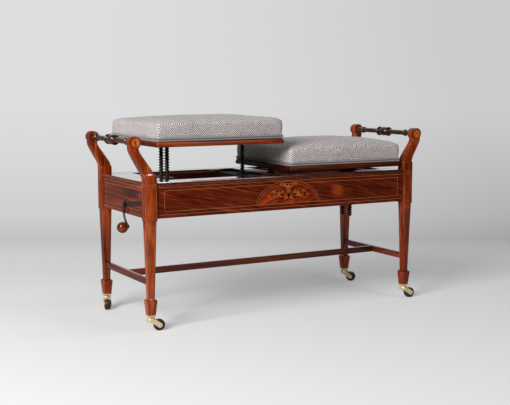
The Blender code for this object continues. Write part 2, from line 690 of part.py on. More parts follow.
def make_nut(side, place):
    sx = SIDES[side]
    x, y, _, _ = screw_places(side)[place]
    towards = {"front": sx, "back": -sx, "inner": sx}[place]  # where this nut's pinion lies
    apex = (x, y, shaft_z)
    origin = (x, y, bridge_top)
    name = f"lift_nut_{place}_{side}"
    gear_top = gear_z + SPUR_THICKNESS
    if place == "inner":
        bm = rod((x, y, gear_z), (x, y, gear_top), NUT_FLANGE_DIAMETER)
    else:
        middle = math.pi / 2 if place == "front" else -math.pi / 2
        phase = middle if place == "front" else middle + math.pi / SPUR_TEETH
        bm = spur_gear(x, y, SPUR_TEETH, SCREW_PAIR_SPACING / 2, gear_z, gear_top, phase)
    nut = add_object(name, bm, IRON, origin)
    body = rod((x, y, shaft_z + BEVEL_RADIUS), (x, y, gear_z + SPUR_THICKNESS / 2), NUT_DIAMETER)
    bevel_bm = bevel_gear(apex, (0, 0, 1), (towards, 0, 0), half_tooth)
    join(nut, add_object(f"{name}_body_tool", body), add_object(f"{name}_bevel_tool", bevel_bm))
    bottom, top = (x, y, shaft_z - BEVEL_RADIUS), (x, y, rim_top + RIM_THICKNESS)
    bore = rod(bottom, top, SCREW_DIAMETER + 2 * RUNNING_GAP)
    cut(nut, add_object(f"{name}_bore_tool", bore))


def make_bridge(side, name, x, places, lugs):
    """A plate under the rim with a hole for each nut, and a hanging lug with a hole for each shaft."""
    half = BRIDGE_WIDTH / 2
    reach = well_y + BRIDGE_LAP
    bridge = add_object(name, box((x - half, -reach, bridge_z), (x + half, reach, bridge_top)), IRON)
    holes = []
    for place in places:
        px, py, _, _ = screw_places(side)[place]
        hole = rod((px, py, bridge_z - BRIDGE_THICKNESS), (px, py, rim_top), NUT_DIAMETER + 2 * RUNNING_GAP)
        holes.append(add_object(f"{name}_{place}_hole_tool", hole))
    for direction, y, diameter in lugs:
        faces = sorted((x + direction * lug_start, x + direction * (lug_start + LUG_THICKNESS)))
        low = (faces[0], y - LUG_WIDTH / 2, shaft_z - LUG_DROP)
        high = (faces[1], y + LUG_WIDTH / 2, bridge_z + BRIDGE_THICKNESS / 2)
        join(bridge, add_object(f"{name}_lug_{direction}_tool", box(low, high)))
        start = (x + direction * BEVEL_RADIUS, y, shaft_z)
        end = (x + direction * (lug_start + 2 * LUG_THICKNESS), y, shaft_z)
        hole = rod(start, end, diameter + 2 * RUNNING_GAP)
        holes.append(add_object(f"{name}_lug_{direction}_hole_tool", hole))
    cut(bridge, *holes)


def add_pinion(shaft, apex, direction):
    """A bevel pinion and its hub on a shaft along X, with one tooth pointing up into the nut's gear."""
    gear = bevel_gear(apex, (direction, 0, 0), (0, 0, 1), 0)
    start = Vector(apex) + Vector((direction * BEVEL_RADIUS, 0, 0))
    end = Vector(apex) + Vector((direction * hub_end, 0, 0))
    tag = f"{shaft.name}_{'out' if direction > 0 else 'in'}"
    hub = rod(start, end, BEVEL_HUB_DIAMETER)
    join(shaft, add_object(f"{tag}_pinion_tool", gear), add_object(f"{tag}_hub_tool", hub))


def make_lay_shaft(side):
    sx = SIDES[side]
    y = back_screw_y
    outer, inner = sx * outer_screw_x, sx * INNER_SCREW_X
    start, end = (outer - sx * shaft_start, y, shaft_z), (inner + sx * shaft_start, y, shaft_z)
    bm = rod(start, end, LAY_SHAFT_DIAMETER, 12)
    shaft = add_object(f"lay_shaft_{side}", bm, IRON, ((outer + inner) / 2, y, shaft_z))
    add_pinion(shaft, (outer, y, shaft_z), -sx)
    add_pinion(shaft, (inner, y, shaft_z), sx)


def make_crank(side):
    sx = SIDES[side]
    y = FRONT_SCREW_Y
    screw_x = sx * outer_screw_x
    bush_in = apron_face_x - APRON_THICKNESS
    bush_face = apron_face_x + GAP + BUSH_FLANGE_THICKNESS
    bore = CRANK_SHAFT_DIAMETER / 2 + RUNNING_GAP
    profile = [(bore, bush_in), (BUSH_DIAMETER / 2, bush_in), (BUSH_DIAMETER / 2, apron_face_x + GAP)]
    flange = BUSH_FLANGE_DIAMETER / 2
    profile += [(flange, apron_face_x + GAP), (flange * 0.92, bush_face), (bore, bush_face)]
    bush = turned(profile, (0, y, shaft_z), (sx, 0, 0), ROUND_SIDES, ring=True)
    add_object(f"crank_bush_{side}", bush, BRASS)

    boss_start = bush_face + RUNNING_GAP
    origin = (sx * (boss_start + CRANK_BOSS_LENGTH / 2), y, shaft_z)
    bm = rod((screw_x + sx * shaft_start, y, shaft_z), origin, CRANK_SHAFT_DIAMETER, 12)
    crank = add_object(f"crank_{side}", bm, IRON, origin)
    add_pinion(crank, (screw_x, y, shaft_z), sx)
    boss_end = boss_start + CRANK_BOSS_LENGTH
    boss = rod((sx * boss_start, y, shaft_z), (sx * boss_end, y, shaft_z), CRANK_BOSS_DIAMETER)
    hang = Matrix.Translation(origin) @ Matrix.Rotation(-CRANK_HANGS[side], 4, "X")
    bulge = [(0, CRANK_BOW, -CRANK_RADIUS * share) for share in CRANK_BOW_SHARES]
    bow = [(0, 0, 0), *bulge, (0, 0, -CRANK_RADIUS)]
    steps = [hang @ bezier(bow, i / CRANK_ROD_STEPS) for i in range(CRANK_ROD_STEPS + 1)]
    elbow = steps[-1]
    ball = elbow + Vector((sx * BALL_STANDOFF, 0, 0))
    back = elbow - Vector((sx * CRANK_ROD_DIAMETER / 2, 0, 0))
    shoulder = rod(back, ball - Vector((sx * BALL_DIAMETER / 2, 0, 0)), SPINDLE_SHOULDER_DIAMETER, 12)
    depth = Vector((sx * BALL_DIAMETER / 4, 0, 0))
    spindle = rod(elbow, ball + depth, SPINDLE_DIAMETER, 12)
    pieces = {"boss": boss, "rod": tube(steps, CRANK_ROD_DIAMETER), "shoulder": shoulder, "spindle": spindle}
    join(crank, *(add_object(f"crank_{tag}_{side}_tool", piece) for tag, piece in pieces.items()))

    bm = bmesh.new()
    bmesh.ops.create_uvsphere(bm, u_segments=12, v_segments=BALL_RINGS, radius=BALL_DIAMETER / 2)
    turn = Matrix.Rotation(math.pi / 2, 4, "Y")
    bmesh.ops.transform(bm, matrix=Matrix.Translation(ball) @ turn, verts=bm.verts)
    knob = add_object(f"crank_ball_{side}", bm, WOOD, ball)
    hole = rod(elbow, ball + depth * 1.2, SPINDLE_DIAMETER + 2 * RUNNING_GAP, 12)
    cut(knob, add_object(f"crank_ball_hole_{side}_tool", hole))


def make_lift(side):
    sx = SIDES[side]
    outer_lugs = [(sx, FRONT_SCREW_Y, CRANK_SHAFT_DIAMETER), (-sx, back_screw_y, LAY_SHAFT_DIAMETER)]
    inner_lugs = [(sx, back_screw_y, LAY_SHAFT_DIAMETER)]
    make_bridge(side, f"bridge_outer_{side}", sx * outer_screw_x, ("front", "back"), outer_lugs)
    make_bridge(side, f"bridge_inner_{side}", sx * INNER_SCREW_X, ("inner",), inner_lugs)
    for place in screw_places(side):
        make_nut(side, place)
    make_lay_shaft(side)
    make_crank(side)


for old in list(bpy.data.objects):
    bpy.data.objects.remove(old)
for side_name in SIDES:
    for end_name in ENDS:
        make_leg(end_name, side_name)
        make_castor(end_name, side_name)
    make_hand_rail(side_name)
    make_lift(side_name)
    make_seat(side_name)
make_aprons()
make_rim()
make_stretchers()
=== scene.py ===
# Looks of a duet piano bench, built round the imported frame. Metres, +Z is up and the front faces -Y.
from math import asin, cos, pi, radians, sin, sqrt, tan

import bmesh
import bpy
from mathutils import Matrix, Vector, noise


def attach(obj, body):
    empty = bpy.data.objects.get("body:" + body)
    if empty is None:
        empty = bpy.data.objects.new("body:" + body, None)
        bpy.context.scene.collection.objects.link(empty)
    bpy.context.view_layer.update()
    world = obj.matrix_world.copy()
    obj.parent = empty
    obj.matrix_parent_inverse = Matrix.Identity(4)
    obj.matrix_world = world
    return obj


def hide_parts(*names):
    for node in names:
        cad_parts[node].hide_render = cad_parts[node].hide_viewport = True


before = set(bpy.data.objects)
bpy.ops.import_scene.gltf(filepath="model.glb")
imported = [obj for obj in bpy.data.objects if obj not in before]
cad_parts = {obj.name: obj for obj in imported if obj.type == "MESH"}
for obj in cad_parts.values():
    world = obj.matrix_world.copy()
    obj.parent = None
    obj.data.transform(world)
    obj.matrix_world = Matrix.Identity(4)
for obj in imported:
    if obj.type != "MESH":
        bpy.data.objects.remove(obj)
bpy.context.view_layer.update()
scene = bpy.context.scene
sides = {"left": -1, "right": 1}
ends = {"front": -1, "back": 1}
corners = {f"{end}_{side}": (sx, sy) for side, sx in sides.items() for end, sy in ends.items()}
print("frame loaded with", len(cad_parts), "nodes")

# where the bench's main lines run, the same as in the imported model
bench = {
    "legX": 0.458,
    "legY": 0.1725,
    "apronX": 0.471,  # outer faces of the aprons
    "apronY": 0.1855,
    "rimTop": 0.432146,
    "leans": {"front_left": 0.047, "back_left": 0.039, "front_right": 0.035, "back_right": 0.047},  # of the arms
    "bossZ": 0.547146,
    "shaftY": -0.0305,
    "shaftZ": 0.357746,
    "seatInner": 0.0108,
    "seatOuter": 0.4358,
    "seatHalf": 0.179,
    "boardThick": 0.0154,
    "seatZ": {"left": 0.530346, "right": 0.442346},
}


class Sock:  # an output socket that takes part in Python expressions
    def __init__(self, tree, out=None):
        self.tree = tree
        self.out = out

    def node(self, kind, settings=None, inputs=None, out=0):
        made = self.tree.nodes.new("ShaderNode" + kind)
        for key, value in (settings or {}).items():
            if key == "stops":
                self.setStops(made.color_ramp.elements, value)
            else:
                setattr(made, key, value)
        for key, value in (inputs or {}).items():
            if isinstance(value, Sock):
                self.tree.links.new(value.out, made.inputs[key])
            else:
                made.inputs[key].default_value = value
        return Sock(self.tree, made.outputs[out]) if made.outputs else None

    def setStops(self, elements, stops):
        while len(elements) > 1:
            elements.remove(elements[-1])
        for i, (at, colour) in enumerate(stops):
            element = elements.new(at) if i else elements[0]
            element.position = at
            element.color = (*colour, 1)

    def maths(self, operation, *values):
        return self.node("Math", {"operation": operation}, dict(enumerate(values)))

    def __add__(self, other):
        return self.maths("ADD", self, other)

    def __sub__(self, other):
        return self.maths("SUBTRACT", self, other)

    def __rsub__(self, other):
        return self.maths("SUBTRACT", other, self)

    def __mul__(self, other):
        return self.maths("MULTIPLY", self, other)

    def __truediv__(self, other):
        return self.maths("DIVIDE", self, other)

    def __gt__(self, other):
        return self.maths("GREATER_THAN", self, other)

    def __lt__(self, other):
        return self.maths("LESS_THAN", self, other)

    def __abs__(self):
        return self.maths("ABSOLUTE", self)

    __radd__ = __add__
    __rmul__ = __mul__

    def clamp(self):
        return self.node("Clamp", {}, {"Value": self})

    def part(self, axis):
        return self.node("SeparateXYZ", {}, {"Vector": self}, axis)

    def scaled(self, scale, shift=(0, 0, 0)):
        return self.node("VectorMath", {"operation": "MULTIPLY_ADD"}, {0: self, 1: scale, 2: shift})

    def cloud(self, scale, detail=2.0, rough=0.5, swirl=0.0):  # noise, about 0.3 to 0.7
        inputs = {"Vector": self, "Scale": scale, "Detail": detail, "Roughness": rough, "Distortion": swirl}
        return self.node("TexNoise", {}, inputs)

    def ramp(self, *stops):
        return self.node("ValToRGB", {"stops": stops}, {"Fac": self})

    def tint(self, low, high):  # a colour from low to high as this value goes from 0 to 1
        colours = [value if isinstance(value, Sock) else (*value, 1) for value in (low, high)]
        return self.node("Mix", {"data_type": "RGBA"}, {0: self, 6: colours[0], 7: colours[1]}, 2)

    def bump(self, strength, distance):
        return self.node("Bump", {}, {"Height": self, "Strength": strength, "Distance": distance})


def newMaterial(name):  # with its tree and the object's own coordinates
    material = bpy.data.materials.new(name)
    material.use_nodes = True
    material.node_tree.nodes.clear()
    m = Sock(material.node_tree)
    return material, m, m.node("TexCoord", out="Object")


def surface(m, **inputs):  # the shader, with Coat_Weight standing for Coat Weight
    named = {key.replace("_", " "): value for key, value in inputs.items()}
    shader = m.node("BsdfPrincipled", {}, named)
    m.node("OutputMaterial", {}, {"Surface": shader})


def edgeWearAndHighlight(m, radius, gain):  # 1 along edges: rubbed wear, and partly a painted highlight where edges catch the light
    soft = m.node("Bevel", {"samples": 4}, {"Radius": radius})
    hard = m.node("NewGeometry", out="Normal")
    return ((1 - m.node("VectorMath", {"operation": "DOT_PRODUCT"}, {0: soft, 1: hard}, 1)) * gain).clamp()


# woods: four tones from dark to pale, and the scale of the figure along and across the grain
toneStops = (0.36, 0.45, 0.54, 0.66)
rosewood = {
    "tones": ((0.016, 0.0022, 0.0006), (0.062, 0.0075, 0.0016), (0.125, 0.0155, 0.003), (0.24, 0.038, 0.007)),
    # the pale edge colour of each wood is partly rubbed polish and partly a painted highlight
    "pore": (0.006, 0.0015, 0.001), "wornAndLitEdge": (0.24, 0.05, 0.012),
    "rough": 0.2, "spec": 0.3, "coat": 0.35, "figure": (2.4, 30),
}
woodLooks = {  # rosewood lends what a wood doesn't give itself
    "rosewood": rosewood,
    "frontwood": {  # slants, with a mottle and a few flames, each (x, z, half width, gain)
        **rosewood, "spec": 0.2, "coat": 0.2, "figure": (8.0, 190), "slant": 0.22, "mottle": 0.09,
        "tones": ((0.016, 0.0022, 0.0006), (0.064, 0.007, 0.0012), (0.112, 0.0128, 0.0021), (0.25, 0.037, 0.0056)),
        "flames": ((0.18, 0.375, 0.028, 0.19), (-0.13, 0.372, 0.06, 0.05), (0.32, 0.376, 0.13, -0.055),
                   (0.135, 0.37, 0.03, -0.05), (0.235, 0.372, 0.04, -0.06)),
    },
    "endwood": {
        **rosewood, "pore": (0.01, 0.002, 0.001), "wornAndLitEdge": (0.3, 0.065, 0.015),
        "tones": ((0.03, 0.0036, 0.0009), (0.105, 0.0125, 0.0024), (0.2, 0.025, 0.0044), (0.34, 0.056, 0.0095)),
    },
    "rimwood": {
        **rosewood, "rough": 0.11, "spec": 0.5, "coat": 1.0,
        "tones": ((0.016, 0.0026, 0.0009), (0.05, 0.007, 0.0018), (0.1, 0.0135, 0.003), (0.19, 0.03, 0.006)),
    },
    "legwood": {
        "pore": (0.016, 0.003, 0.001), "wornAndLitEdge": (0.42, 0.1, 0.02), "stops": (0.36, 0.44, 0.53, 0.64),
        "tones": ((0.026, 0.0032, 0.0007), (0.115, 0.0125, 0.0015), (0.235, 0.0275, 0.0027), (0.43, 0.08, 0.0095)),
        "rough": 0.19, "spec": 0.25, "coat": 0.3, "figure": (6.0, 46),
        "paleBelow": 0.075,  # two legs are paler below their blocks
    },
    "railwood": {
        "pore": (0.005, 0.0015, 0.001), "wornAndLitEdge": (0.1, 0.026, 0.01),
        "tones": ((0.007, 0.0018, 0.001), (0.02, 0.0042, 0.0018), (0.042, 0.0082, 0.0032), (0.095, 0.021, 0.007)),
        "rough": 0.15, "spec": 0.4, "coat": 0.6, "figure": (3.0, 60),
    },
    # a darker copy of mahogany for the right seat's board: painted shade
    "darkMahogany": {
        "pore": (0.008, 0.002, 0.001), "wornAndLitEdge": (0.16, 0.034, 0.009),
        "tones": ((0.011, 0.0017, 0.0006), (0.032, 0.0047, 0.0012), (0.06, 0.0085, 0.002), (0.105, 0.018, 0.0045)),
        "rough": 0.24, "spec": 0.12, "coat": 0.1, "figure": (2.8, 40),
    },
    "mahogany": {
        "pore": (0.02, 0.004, 0.001), "wornAndLitEdge": (0.36, 0.075, 0.015),
        "tones": ((0.026, 0.0031, 0.0007), (0.092, 0.012, 0.002), (0.18, 0.0255, 0.0036), (0.32, 0.06, 0.0088)),
        "rough": 0.24, "spec": 0.22, "coat": 0.2, "figure": (2.8, 40),
    },
    "flameVeneer": {
        "pore": (0.05, 0.006, 0.001), "wornAndLitEdge": (0.4, 0.09, 0.016), "slant": -0.45,
        "tones": ((0.042, 0.0032, 0.0005), (0.098, 0.0072, 0.0008), (0.17, 0.014, 0.0013), (0.33, 0.04, 0.0038)),
        "flames": ((-0.07, 0.362, 0.05, 0.13), (0.01, 0.352, 0.1, 0.05), (0.07, 0.385, 0.05, -0.05)),
        "rough": 0.22, "spec": 0.16, "coat": 0.16, "figure": (14.0, 90),
    },
    "satinwood": {
        **rosewood, "pore": (0.2, 0.045, 0.01), "wornAndLitEdge": (0.64, 0.28, 0.08), "rough": 0.25, "figure": (9.0, 80),
        "tones": ((0.24, 0.05, 0.007), (0.38, 0.088, 0.012), (0.52, 0.14, 0.021), (0.66, 0.24, 0.048)),
    },
    "marquetry": {
        **rosewood, "pore": (0.1, 0.02, 0.004), "wornAndLitEdge": (0.46, 0.15, 0.03), "rough": 0.25, "figure": (30.0, 90),
        "tones": ((0.18, 0.032, 0.004), (0.29, 0.06, 0.007), (0.41, 0.096, 0.011), (0.54, 0.16, 0.023)),
    },
    "boxwood": {
        **rosewood, "pore": (0.12, 0.034, 0.01), "wornAndLitEdge": (0.44, 0.18, 0.07), "rough": 0.28, "figure": (12.0, 90),
        "tones": ((0.15, 0.038, 0.01), (0.23, 0.066, 0.019), (0.3, 0.098, 0.031), (0.4, 0.15, 0.055)),
    },
    "ebony": {
        **rosewood, "pore": (0.003, 0.002, 0.0015), "wornAndLitEdge": (0.06, 0.025, 0.014), "rough": 0.28, "figure": (5.0, 60),
        "tones": ((0.004, 0.0025, 0.002), (0.009, 0.0045, 0.003), (0.016, 0.007, 0.0045), (0.035, 0.014, 0.008)),
    },
    "turnedWheel": {
        "pore": (0.01, 0.005, 0.003), "wornAndLitEdge": (0.16, 0.08, 0.05),
        "tones": ((0.012, 0.006, 0.004), (0.028, 0.012, 0.007), (0.05, 0.022, 0.013), (0.1, 0.048, 0.028)),
        "rough": 0.4, "spec": 0.4, "coat": 0.1, "figure": (20.0, 160),
    },
}
woodDetail = {"edgeRadius": 0.0013, "edgeGain": 2.2, "flameHeight": 0.03, "paleFrom": 0.325, "paleRate": 25}


def wood(name, kind, grain, shift):
    look = woodLooks[kind]
    material, m, at = newMaterial(name)
    along, across = look["figure"]
    if "slant" in look:
        slanted = at.part(2) + at.part(0) * look["slant"]
        at = m.node("CombineXYZ", {}, {"X": at.part(0), "Y": at.part(1), "Z": slanted})

    def stretched(lengthwise, crosswise):
        scale = [lengthwise if letter == grain else crosswise for letter in "xyz"]
        return at.scaled(scale, (shift, shift * 0.7, shift * 1.3))

    figure = stretched(along, across).cloud(1, 4, 0.55, 0.6)
    streaks = stretched(along * 2.2, across * 7).cloud(1, 3, 0.6)
    pores = stretched(along * 22, across * 55).cloud(1, 2)
    smudge = at.cloud(11, 3)
    endGrain = ((abs(m.node("TexCoord", out="Normal").part("xyz".index(grain))) - 0.6) * 3).clamp()
    tone = figure * 0.62 + streaks * 0.38 - endGrain * 0.1
    if "paleBelow" in look:
        left, front = (0.5 - at.part(0) * 1.1).clamp(), (0.5 - at.part(1) * 2.9).clamp()
        corner = left * front + (1 - left) * (1 - front)
        tone = tone + ((woodDetail["paleFrom"] - at.part(2)) * woodDetail["paleRate"]).clamp() * corner * look["paleBelow"]
    if "mottle" in look:
        tone = tone + (at.cloud(38, 3, 0.6, 0.8) - 0.5) * look["mottle"]
    for x, z, half, gain in look.get("flames", ()):
        tall = woodDetail["flameHeight"]
        off = at.scaled((1 / half, 0, 1 / tall), (-x / half, 0, -(z + x * look["slant"]) / tall))
        spot = (1 - m.node("VectorMath", {"operation": "LENGTH"}, {0: off}, 1)).clamp()
        tone = tone + spot * gain
    poreMask = ((0.43 - pores) * 9).clamp()
    stops = zip(look.get("stops", toneStops), look["tones"])
    colour = (poreMask * 0.5).tint(tone.ramp(*stops), look["pore"])
    # edges go pale: rubbed polish, and partly a painted highlight along them
    wornAndLitEdge = edgeWearAndHighlight(m, woodDetail["edgeRadius"], woodDetail["edgeGain"]) * (0.1 + smudge)
    surface(
        m, Base_Color=wornAndLitEdge.clamp().tint(colour, look["wornAndLitEdge"]),
        Roughness=look["rough"] + 0.16 * (smudge - 0.4) + poreMask * 0.05,
        Normal=(streaks * 0.4 - poreMask).bump(0.1, 0.0002),
        Specular_IOR_Level=look["spec"], Coat_Weight=look["coat"], Coat_Roughness=0.06,
    )
    return material


metalLooks = {
    "iron": {
        # high is pale so that edges and thread crests carry a painted highlight, partly rubbed wear
        "low": (0.02, 0.018, 0.018), "high": (0.15, 0.138, 0.132), "dirt": (0.045, 0.024, 0.015),
        "rough": 0.36, "metal": 0.9,
    },
    "brass": {
        "low": (0.76, 0.6, 0.33), "high": (0.98, 0.88, 0.64), "dirt": (0.26, 0.16, 0.07),
        "rough": 0.3, "metal": 0.55,
    },
    "bronze": {
        "low": (0.03, 0.014, 0.008), "high": (0.135, 0.08, 0.052), "dirt": (0.016, 0.008, 0.005),
        "rough": 0.36, "metal": 0.7,
    },
    "japan": {  # brown lacquer on iron
        "low": (0.012, 0.005, 0.003), "high": (0.036, 0.014, 0.008), "dirt": (0.02, 0.009, 0.005),
        "rough": 0.62, "metal": 0.1,
    },
}


def metal(name):
    look = metalLooks[name]
    material, m, at = newMaterial(name)
    blotch = at.cloud(95, 4, 0.6)
    grit = at.cloud(900, 2)
    scratch = at.scaled((300, 300, 2600)).cloud(1, 2)
    dirt = ((at.cloud(160, 5, 0.7) - 0.56) * 6).clamp()
    rubbedAndLitEdge = edgeWearAndHighlight(m, 0.0007, 2.5)
    # edges and thread crests go toward high: rubbed wear, and partly a painted highlight
    colour = ((blotch - 0.35) * 1.8 + rubbedAndLitEdge * 0.7).clamp().tint(look["low"], look["high"])
    surface(
        m, Base_Color=(dirt * (1 - rubbedAndLitEdge) * 0.7).tint(colour, look["dirt"]),
        Metallic=look["metal"] * (1 - dirt * 0.5),
        Roughness=look["rough"] + blotch * 0.16 + dirt * 0.2 - rubbedAndLitEdge * 0.08,
        Normal=(grit * 0.7 + scratch * 0.3).bump(0.12, 0.0003),
    )
    return material


clothLook = {  # a herringbone: half columns, lines and threads in metres
    "light": (0.735, 0.668, 0.652), "dark": (0.05, 0.045, 0.043),
    "column": 0.0205, "line": 0.0071, "slope": 1.1, "thread": 0.0009, "wander": 0.0012,
}
braidLook = {"light": (0.205, 0.183, 0.177), "dark": (0.036, 0.031, 0.029), "hollow": 0.0022}


def cloth():
    material, m, at = newMaterial("wovenCloth")
    facing = m.node("TexCoord", out="Normal")
    x, y, z = (at.part(axis) for axis in range(3))
    onTop = abs(facing.part(2)) > 0.62
    onEnd = abs(facing.part(0)) > abs(facing.part(1))
    u = x + (y - x) * (onEnd * (1 - onTop))
    v = z + (y - z) * onTop
    wander = (at.cloud(60, 2) - 0.5) * clothLook["wander"]
    zig = m.maths("PINGPONG", u + wander + 1, clothLook["column"])
    across = (v + zig * clothLook["slope"] + wander) / clothLook["line"]
    line = abs(m.maths("FRACT", across + 40) - 0.5) * 2  # 0 in a dark line, 1 between lines
    line = ((line - 0.5) * 3 + 0.5).clamp()
    warp, weft = (m.maths("SINE", way * (2 * pi / clothLook["thread"])) for way in (u, v))
    thread = warp * weft * 0.5 + 0.5
    slub = at.scaled((40, 900, 900)).cloud(1, 3) * 0.5 + at.scaled((900, 40, 900)).cloud(1, 3) * 0.5
    fleck = at.cloud(300, 2, 0.7)
    soil = at.cloud(7, 4, 0.6)
    tone = line * 0.78 + thread * 0.1 + (slub - 0.5) * 0.8 + (fleck - 0.5) * 1.6 + (soil - 0.5) * 0.3 - 0.045
    surface(
        m, Base_Color=tone.clamp().tint(clothLook["dark"], clothLook["light"]),
        Roughness=0.8 + 0.2 * (slub - 0.4),
        Normal=(line * 0.6 + thread * 0.3 + slub * 0.4).bump(0.45, 0.0006), Sheen_Weight=0.1, Sheen_Roughness=0.5,
    )
    return material


def braidCloth():
    material, m, at = newMaterial("braidCord")
    fibre = at.cloud(1300, 3)
    fleck = at.cloud(240, 3)
    # painted shade: the braid's colour darkens in its hollows, by ambient occlusion
    deep = m.node("AmbientOcclusion", {"samples": 4}, {"Distance": braidLook["hollow"]}, 1)
    tone = (deep * 0.9 + (fibre - 0.5) * 0.7 + (fleck - 0.5) * 0.6).clamp()
    surface(
        m, Base_Color=tone.tint(braidLook["dark"], braidLook["light"]), Roughness=0.75 + 0.2 * (fibre - 0.4),
        Normal=fibre.bump(0.3, 0.0004), Sheen_Weight=0.2,
    )
    return material


woodPieces = {  # the wood, the way its grain runs, and a shift so that pieces differ
    "frontwood": ("frontwood", "x", 3.1),
    "backwood": ("rosewood", "x", 3.1),
    "endwood": ("endwood", "y", 5.7),
    "rimwoodX": ("rimwood", "x", 6.4),
    "rimwoodY": ("rimwood", "y", 4.2),
    "railwood": ("railwood", "y", 2.9),
    "legwood": ("legwood", "z", 1.3),
    "crossbar": ("rosewood", "x", 9.9),
    "sidebar": ("rosewood", "y", 2.3),
    "mahogany": ("mahogany", "x", 8.2),
    "darkMahogany": ("darkMahogany", "x", 7.1),
    "flameVeneer": ("flameVeneer", "x", 2.2),
    "satinwood": ("satinwood", "z", 4.4),
    "marquetry": ("marquetry", "x", 3.7),
    "boxwood": ("boxwood", "x", 6.6),
    "ebony": ("ebony", "y", 7.7),
    "turnedWheel": ("turnedWheel", "y", 9.3),
}
looks = {name: wood(name, *made) for name, made in woodPieces.items()}
looks |= {name: metal(name) for name in metalLooks}
looks |= {"cloth": cloth(), "braid": braidCloth()}
print("materials made:", len(looks))


def bezier(points, t):  # de Casteljau, on any number of control points
    points = [Vector(p) for p in points]
    while len(points) > 1:
        points = [a.lerp(b, t) for a, b in zip(points, points[1:])]
    return points[0]


def loft(bm, rings, closed=False):  # skins rings of equal count, and caps the ends unless they meet
    rows = [[bm.verts.new(p) for p in ring] for ring in rings]
    pairs = list(zip(rows, rows[1:])) + ([(rows[-1], rows[0])] if closed else [])
    for low, high in pairs:
        for i in range(len(low)):
            j = (i + 1) % len(low)
            bm.faces.new((low[i], low[j], high[j], high[i]))
    if not closed:
        bm.faces.new(list(reversed(rows[0])))
        bm.faces.new(rows[-1])


def lathe(bm, profile, centre, axis, steps=48, closed=False):  # profile of (radius, along)
    axis = Vector(axis).normalized()
    side = axis.orthogonal().normalized()
    third = axis.cross(side)
    spokes = [side * cos(a) + third * sin(a) for a in (2 * pi * i / steps for i in range(steps))]
    loft(bm, [[Vector(centre) + axis * along + spoke * r for spoke in spokes] for r, along in profile], closed)


def sweep(bm, path, section, steps=12, closed=False):  # section(i, angle) gives the radius
    path = [Vector(p) for p in path]
    count = len(path)
    rings, side = [], None
    for i, point in enumerate(path):
        after = path[(i + 1) % count] if closed else path[min(i + 1, count - 1)]
        before = path[i - 1] if closed or i else path[0]
        along = (after - before).normalized()
        side = along.orthogonal() if side is None else side - along * side.dot(along)
        side = side.normalized()
        third = along.cross(side)
        angles = [2 * pi * k / steps for k in range(steps)]
        rings.append([point + (side * cos(a) + third * sin(a)) * section(i, a) for a in angles])
    loft(bm, rings, closed)


def roundedBox(x0, x1, y0, y1, radius, cornerSteps=4, sideSteps=1):  # outline, anticlockwise from above
    corners = [(x1 - radius, y1 - radius, 0), (x0 + radius, y1 - radius, 90), (x0 + radius, y0 + radius, 180),
               (x1 - radius, y0 + radius, 270)]
    arcs = []
    for cx, cy, start in corners:
        turns = [radians(start + 90 * k / cornerSteps) for k in range(cornerSteps + 1)]
        arcs.append([Vector((cx + radius * cos(a), cy + radius * sin(a))) for a in turns])
    outline = []
    for arc, following in zip(arcs, arcs[1:] + arcs[:1]):
        outline += arc
        outline += [arc[-1].lerp(following[0], k / sideSteps) for k in range(1, sideSteps)]
    return outline


def roundCorners(points, rounds=2):  # corner cutting, for outlines with easy curves
    for _ in range(rounds):
        cut = []
        for a, b in zip(points, points[1:] + points[:1]):
            cut += [a.lerp(b, 0.25), a.lerp(b, 0.75)]
        points = cut
    return points


def addPiece(name, bm, look, body, replaced=(), crease=35):
    bmesh.ops.recalc_face_normals(bm, faces=bm.faces)
    mesh = bpy.data.meshes.new(name)
    bm.to_mesh(mesh)
    bm.free()
    mesh.shade_smooth()
    mesh.set_sharp_from_angle(angle=radians(crease))
    mesh.materials.append(looks[look])
    piece = bpy.data.objects.new(name, mesh)
    scene.collection.objects.link(piece)
    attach(piece, body)
    if replaced:
        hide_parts(*replaced)
    return piece


# legs, with their arms as one length of wood
leg = {
    "profile": (  # height and half width, from the foot up
        (0.047146, 0.0106), (0.048, 0.0112), (0.0868, 0.0147), (0.0882, 0.0151), (0.0905, 0.015),
        (0.0922, 0.012), (0.0947, 0.0095), (0.102, 0.00955), (0.3176, 0.01495), (0.3192, 0.0152), (0.3216, 0.017),
    ),
    "corner": 0.0009,
    "block": 0.017,
    "neck": 0.01275,  # half width of the arm under its boss
    "armDepth": 0.0255,
    "ledge": (0.452646, 0.457146),  # slopes back from the block to the arm
    "slope": 32.5,  # of the arm's straight part, in degrees from upright
    "straight": (0.36, 0.6),  # the part from knee to elbow that stays straight
    "elbow": 0.525546,
    "overreach": 0.08,  # how far the elbow swings past the boss, as a share of the lean
    "easing": 3,  # rounds of corner cutting on the two bends
    "taper": 0.470146,  # height at which the arm starts to narrow
    "headDrop": 0.0036,  # the arm ends this far under its boss's middle
    "rimGap": 0.0005,
    "ledgeGap": 0.0008,
    "bossRadius": 0.018,
    "bossHalf": 0.01425,
    "bossDish": 0.0006,  # depth of its flat inside a raised edge
}


def legHalf(z):
    rows = leg["profile"]
    for (z0, a), (z1, b) in zip(rows, rows[1:]):
        if z0 <= z <= z1:
            return a + (b - a) * (z - z0) / (z1 - z0)
    return leg["block"]


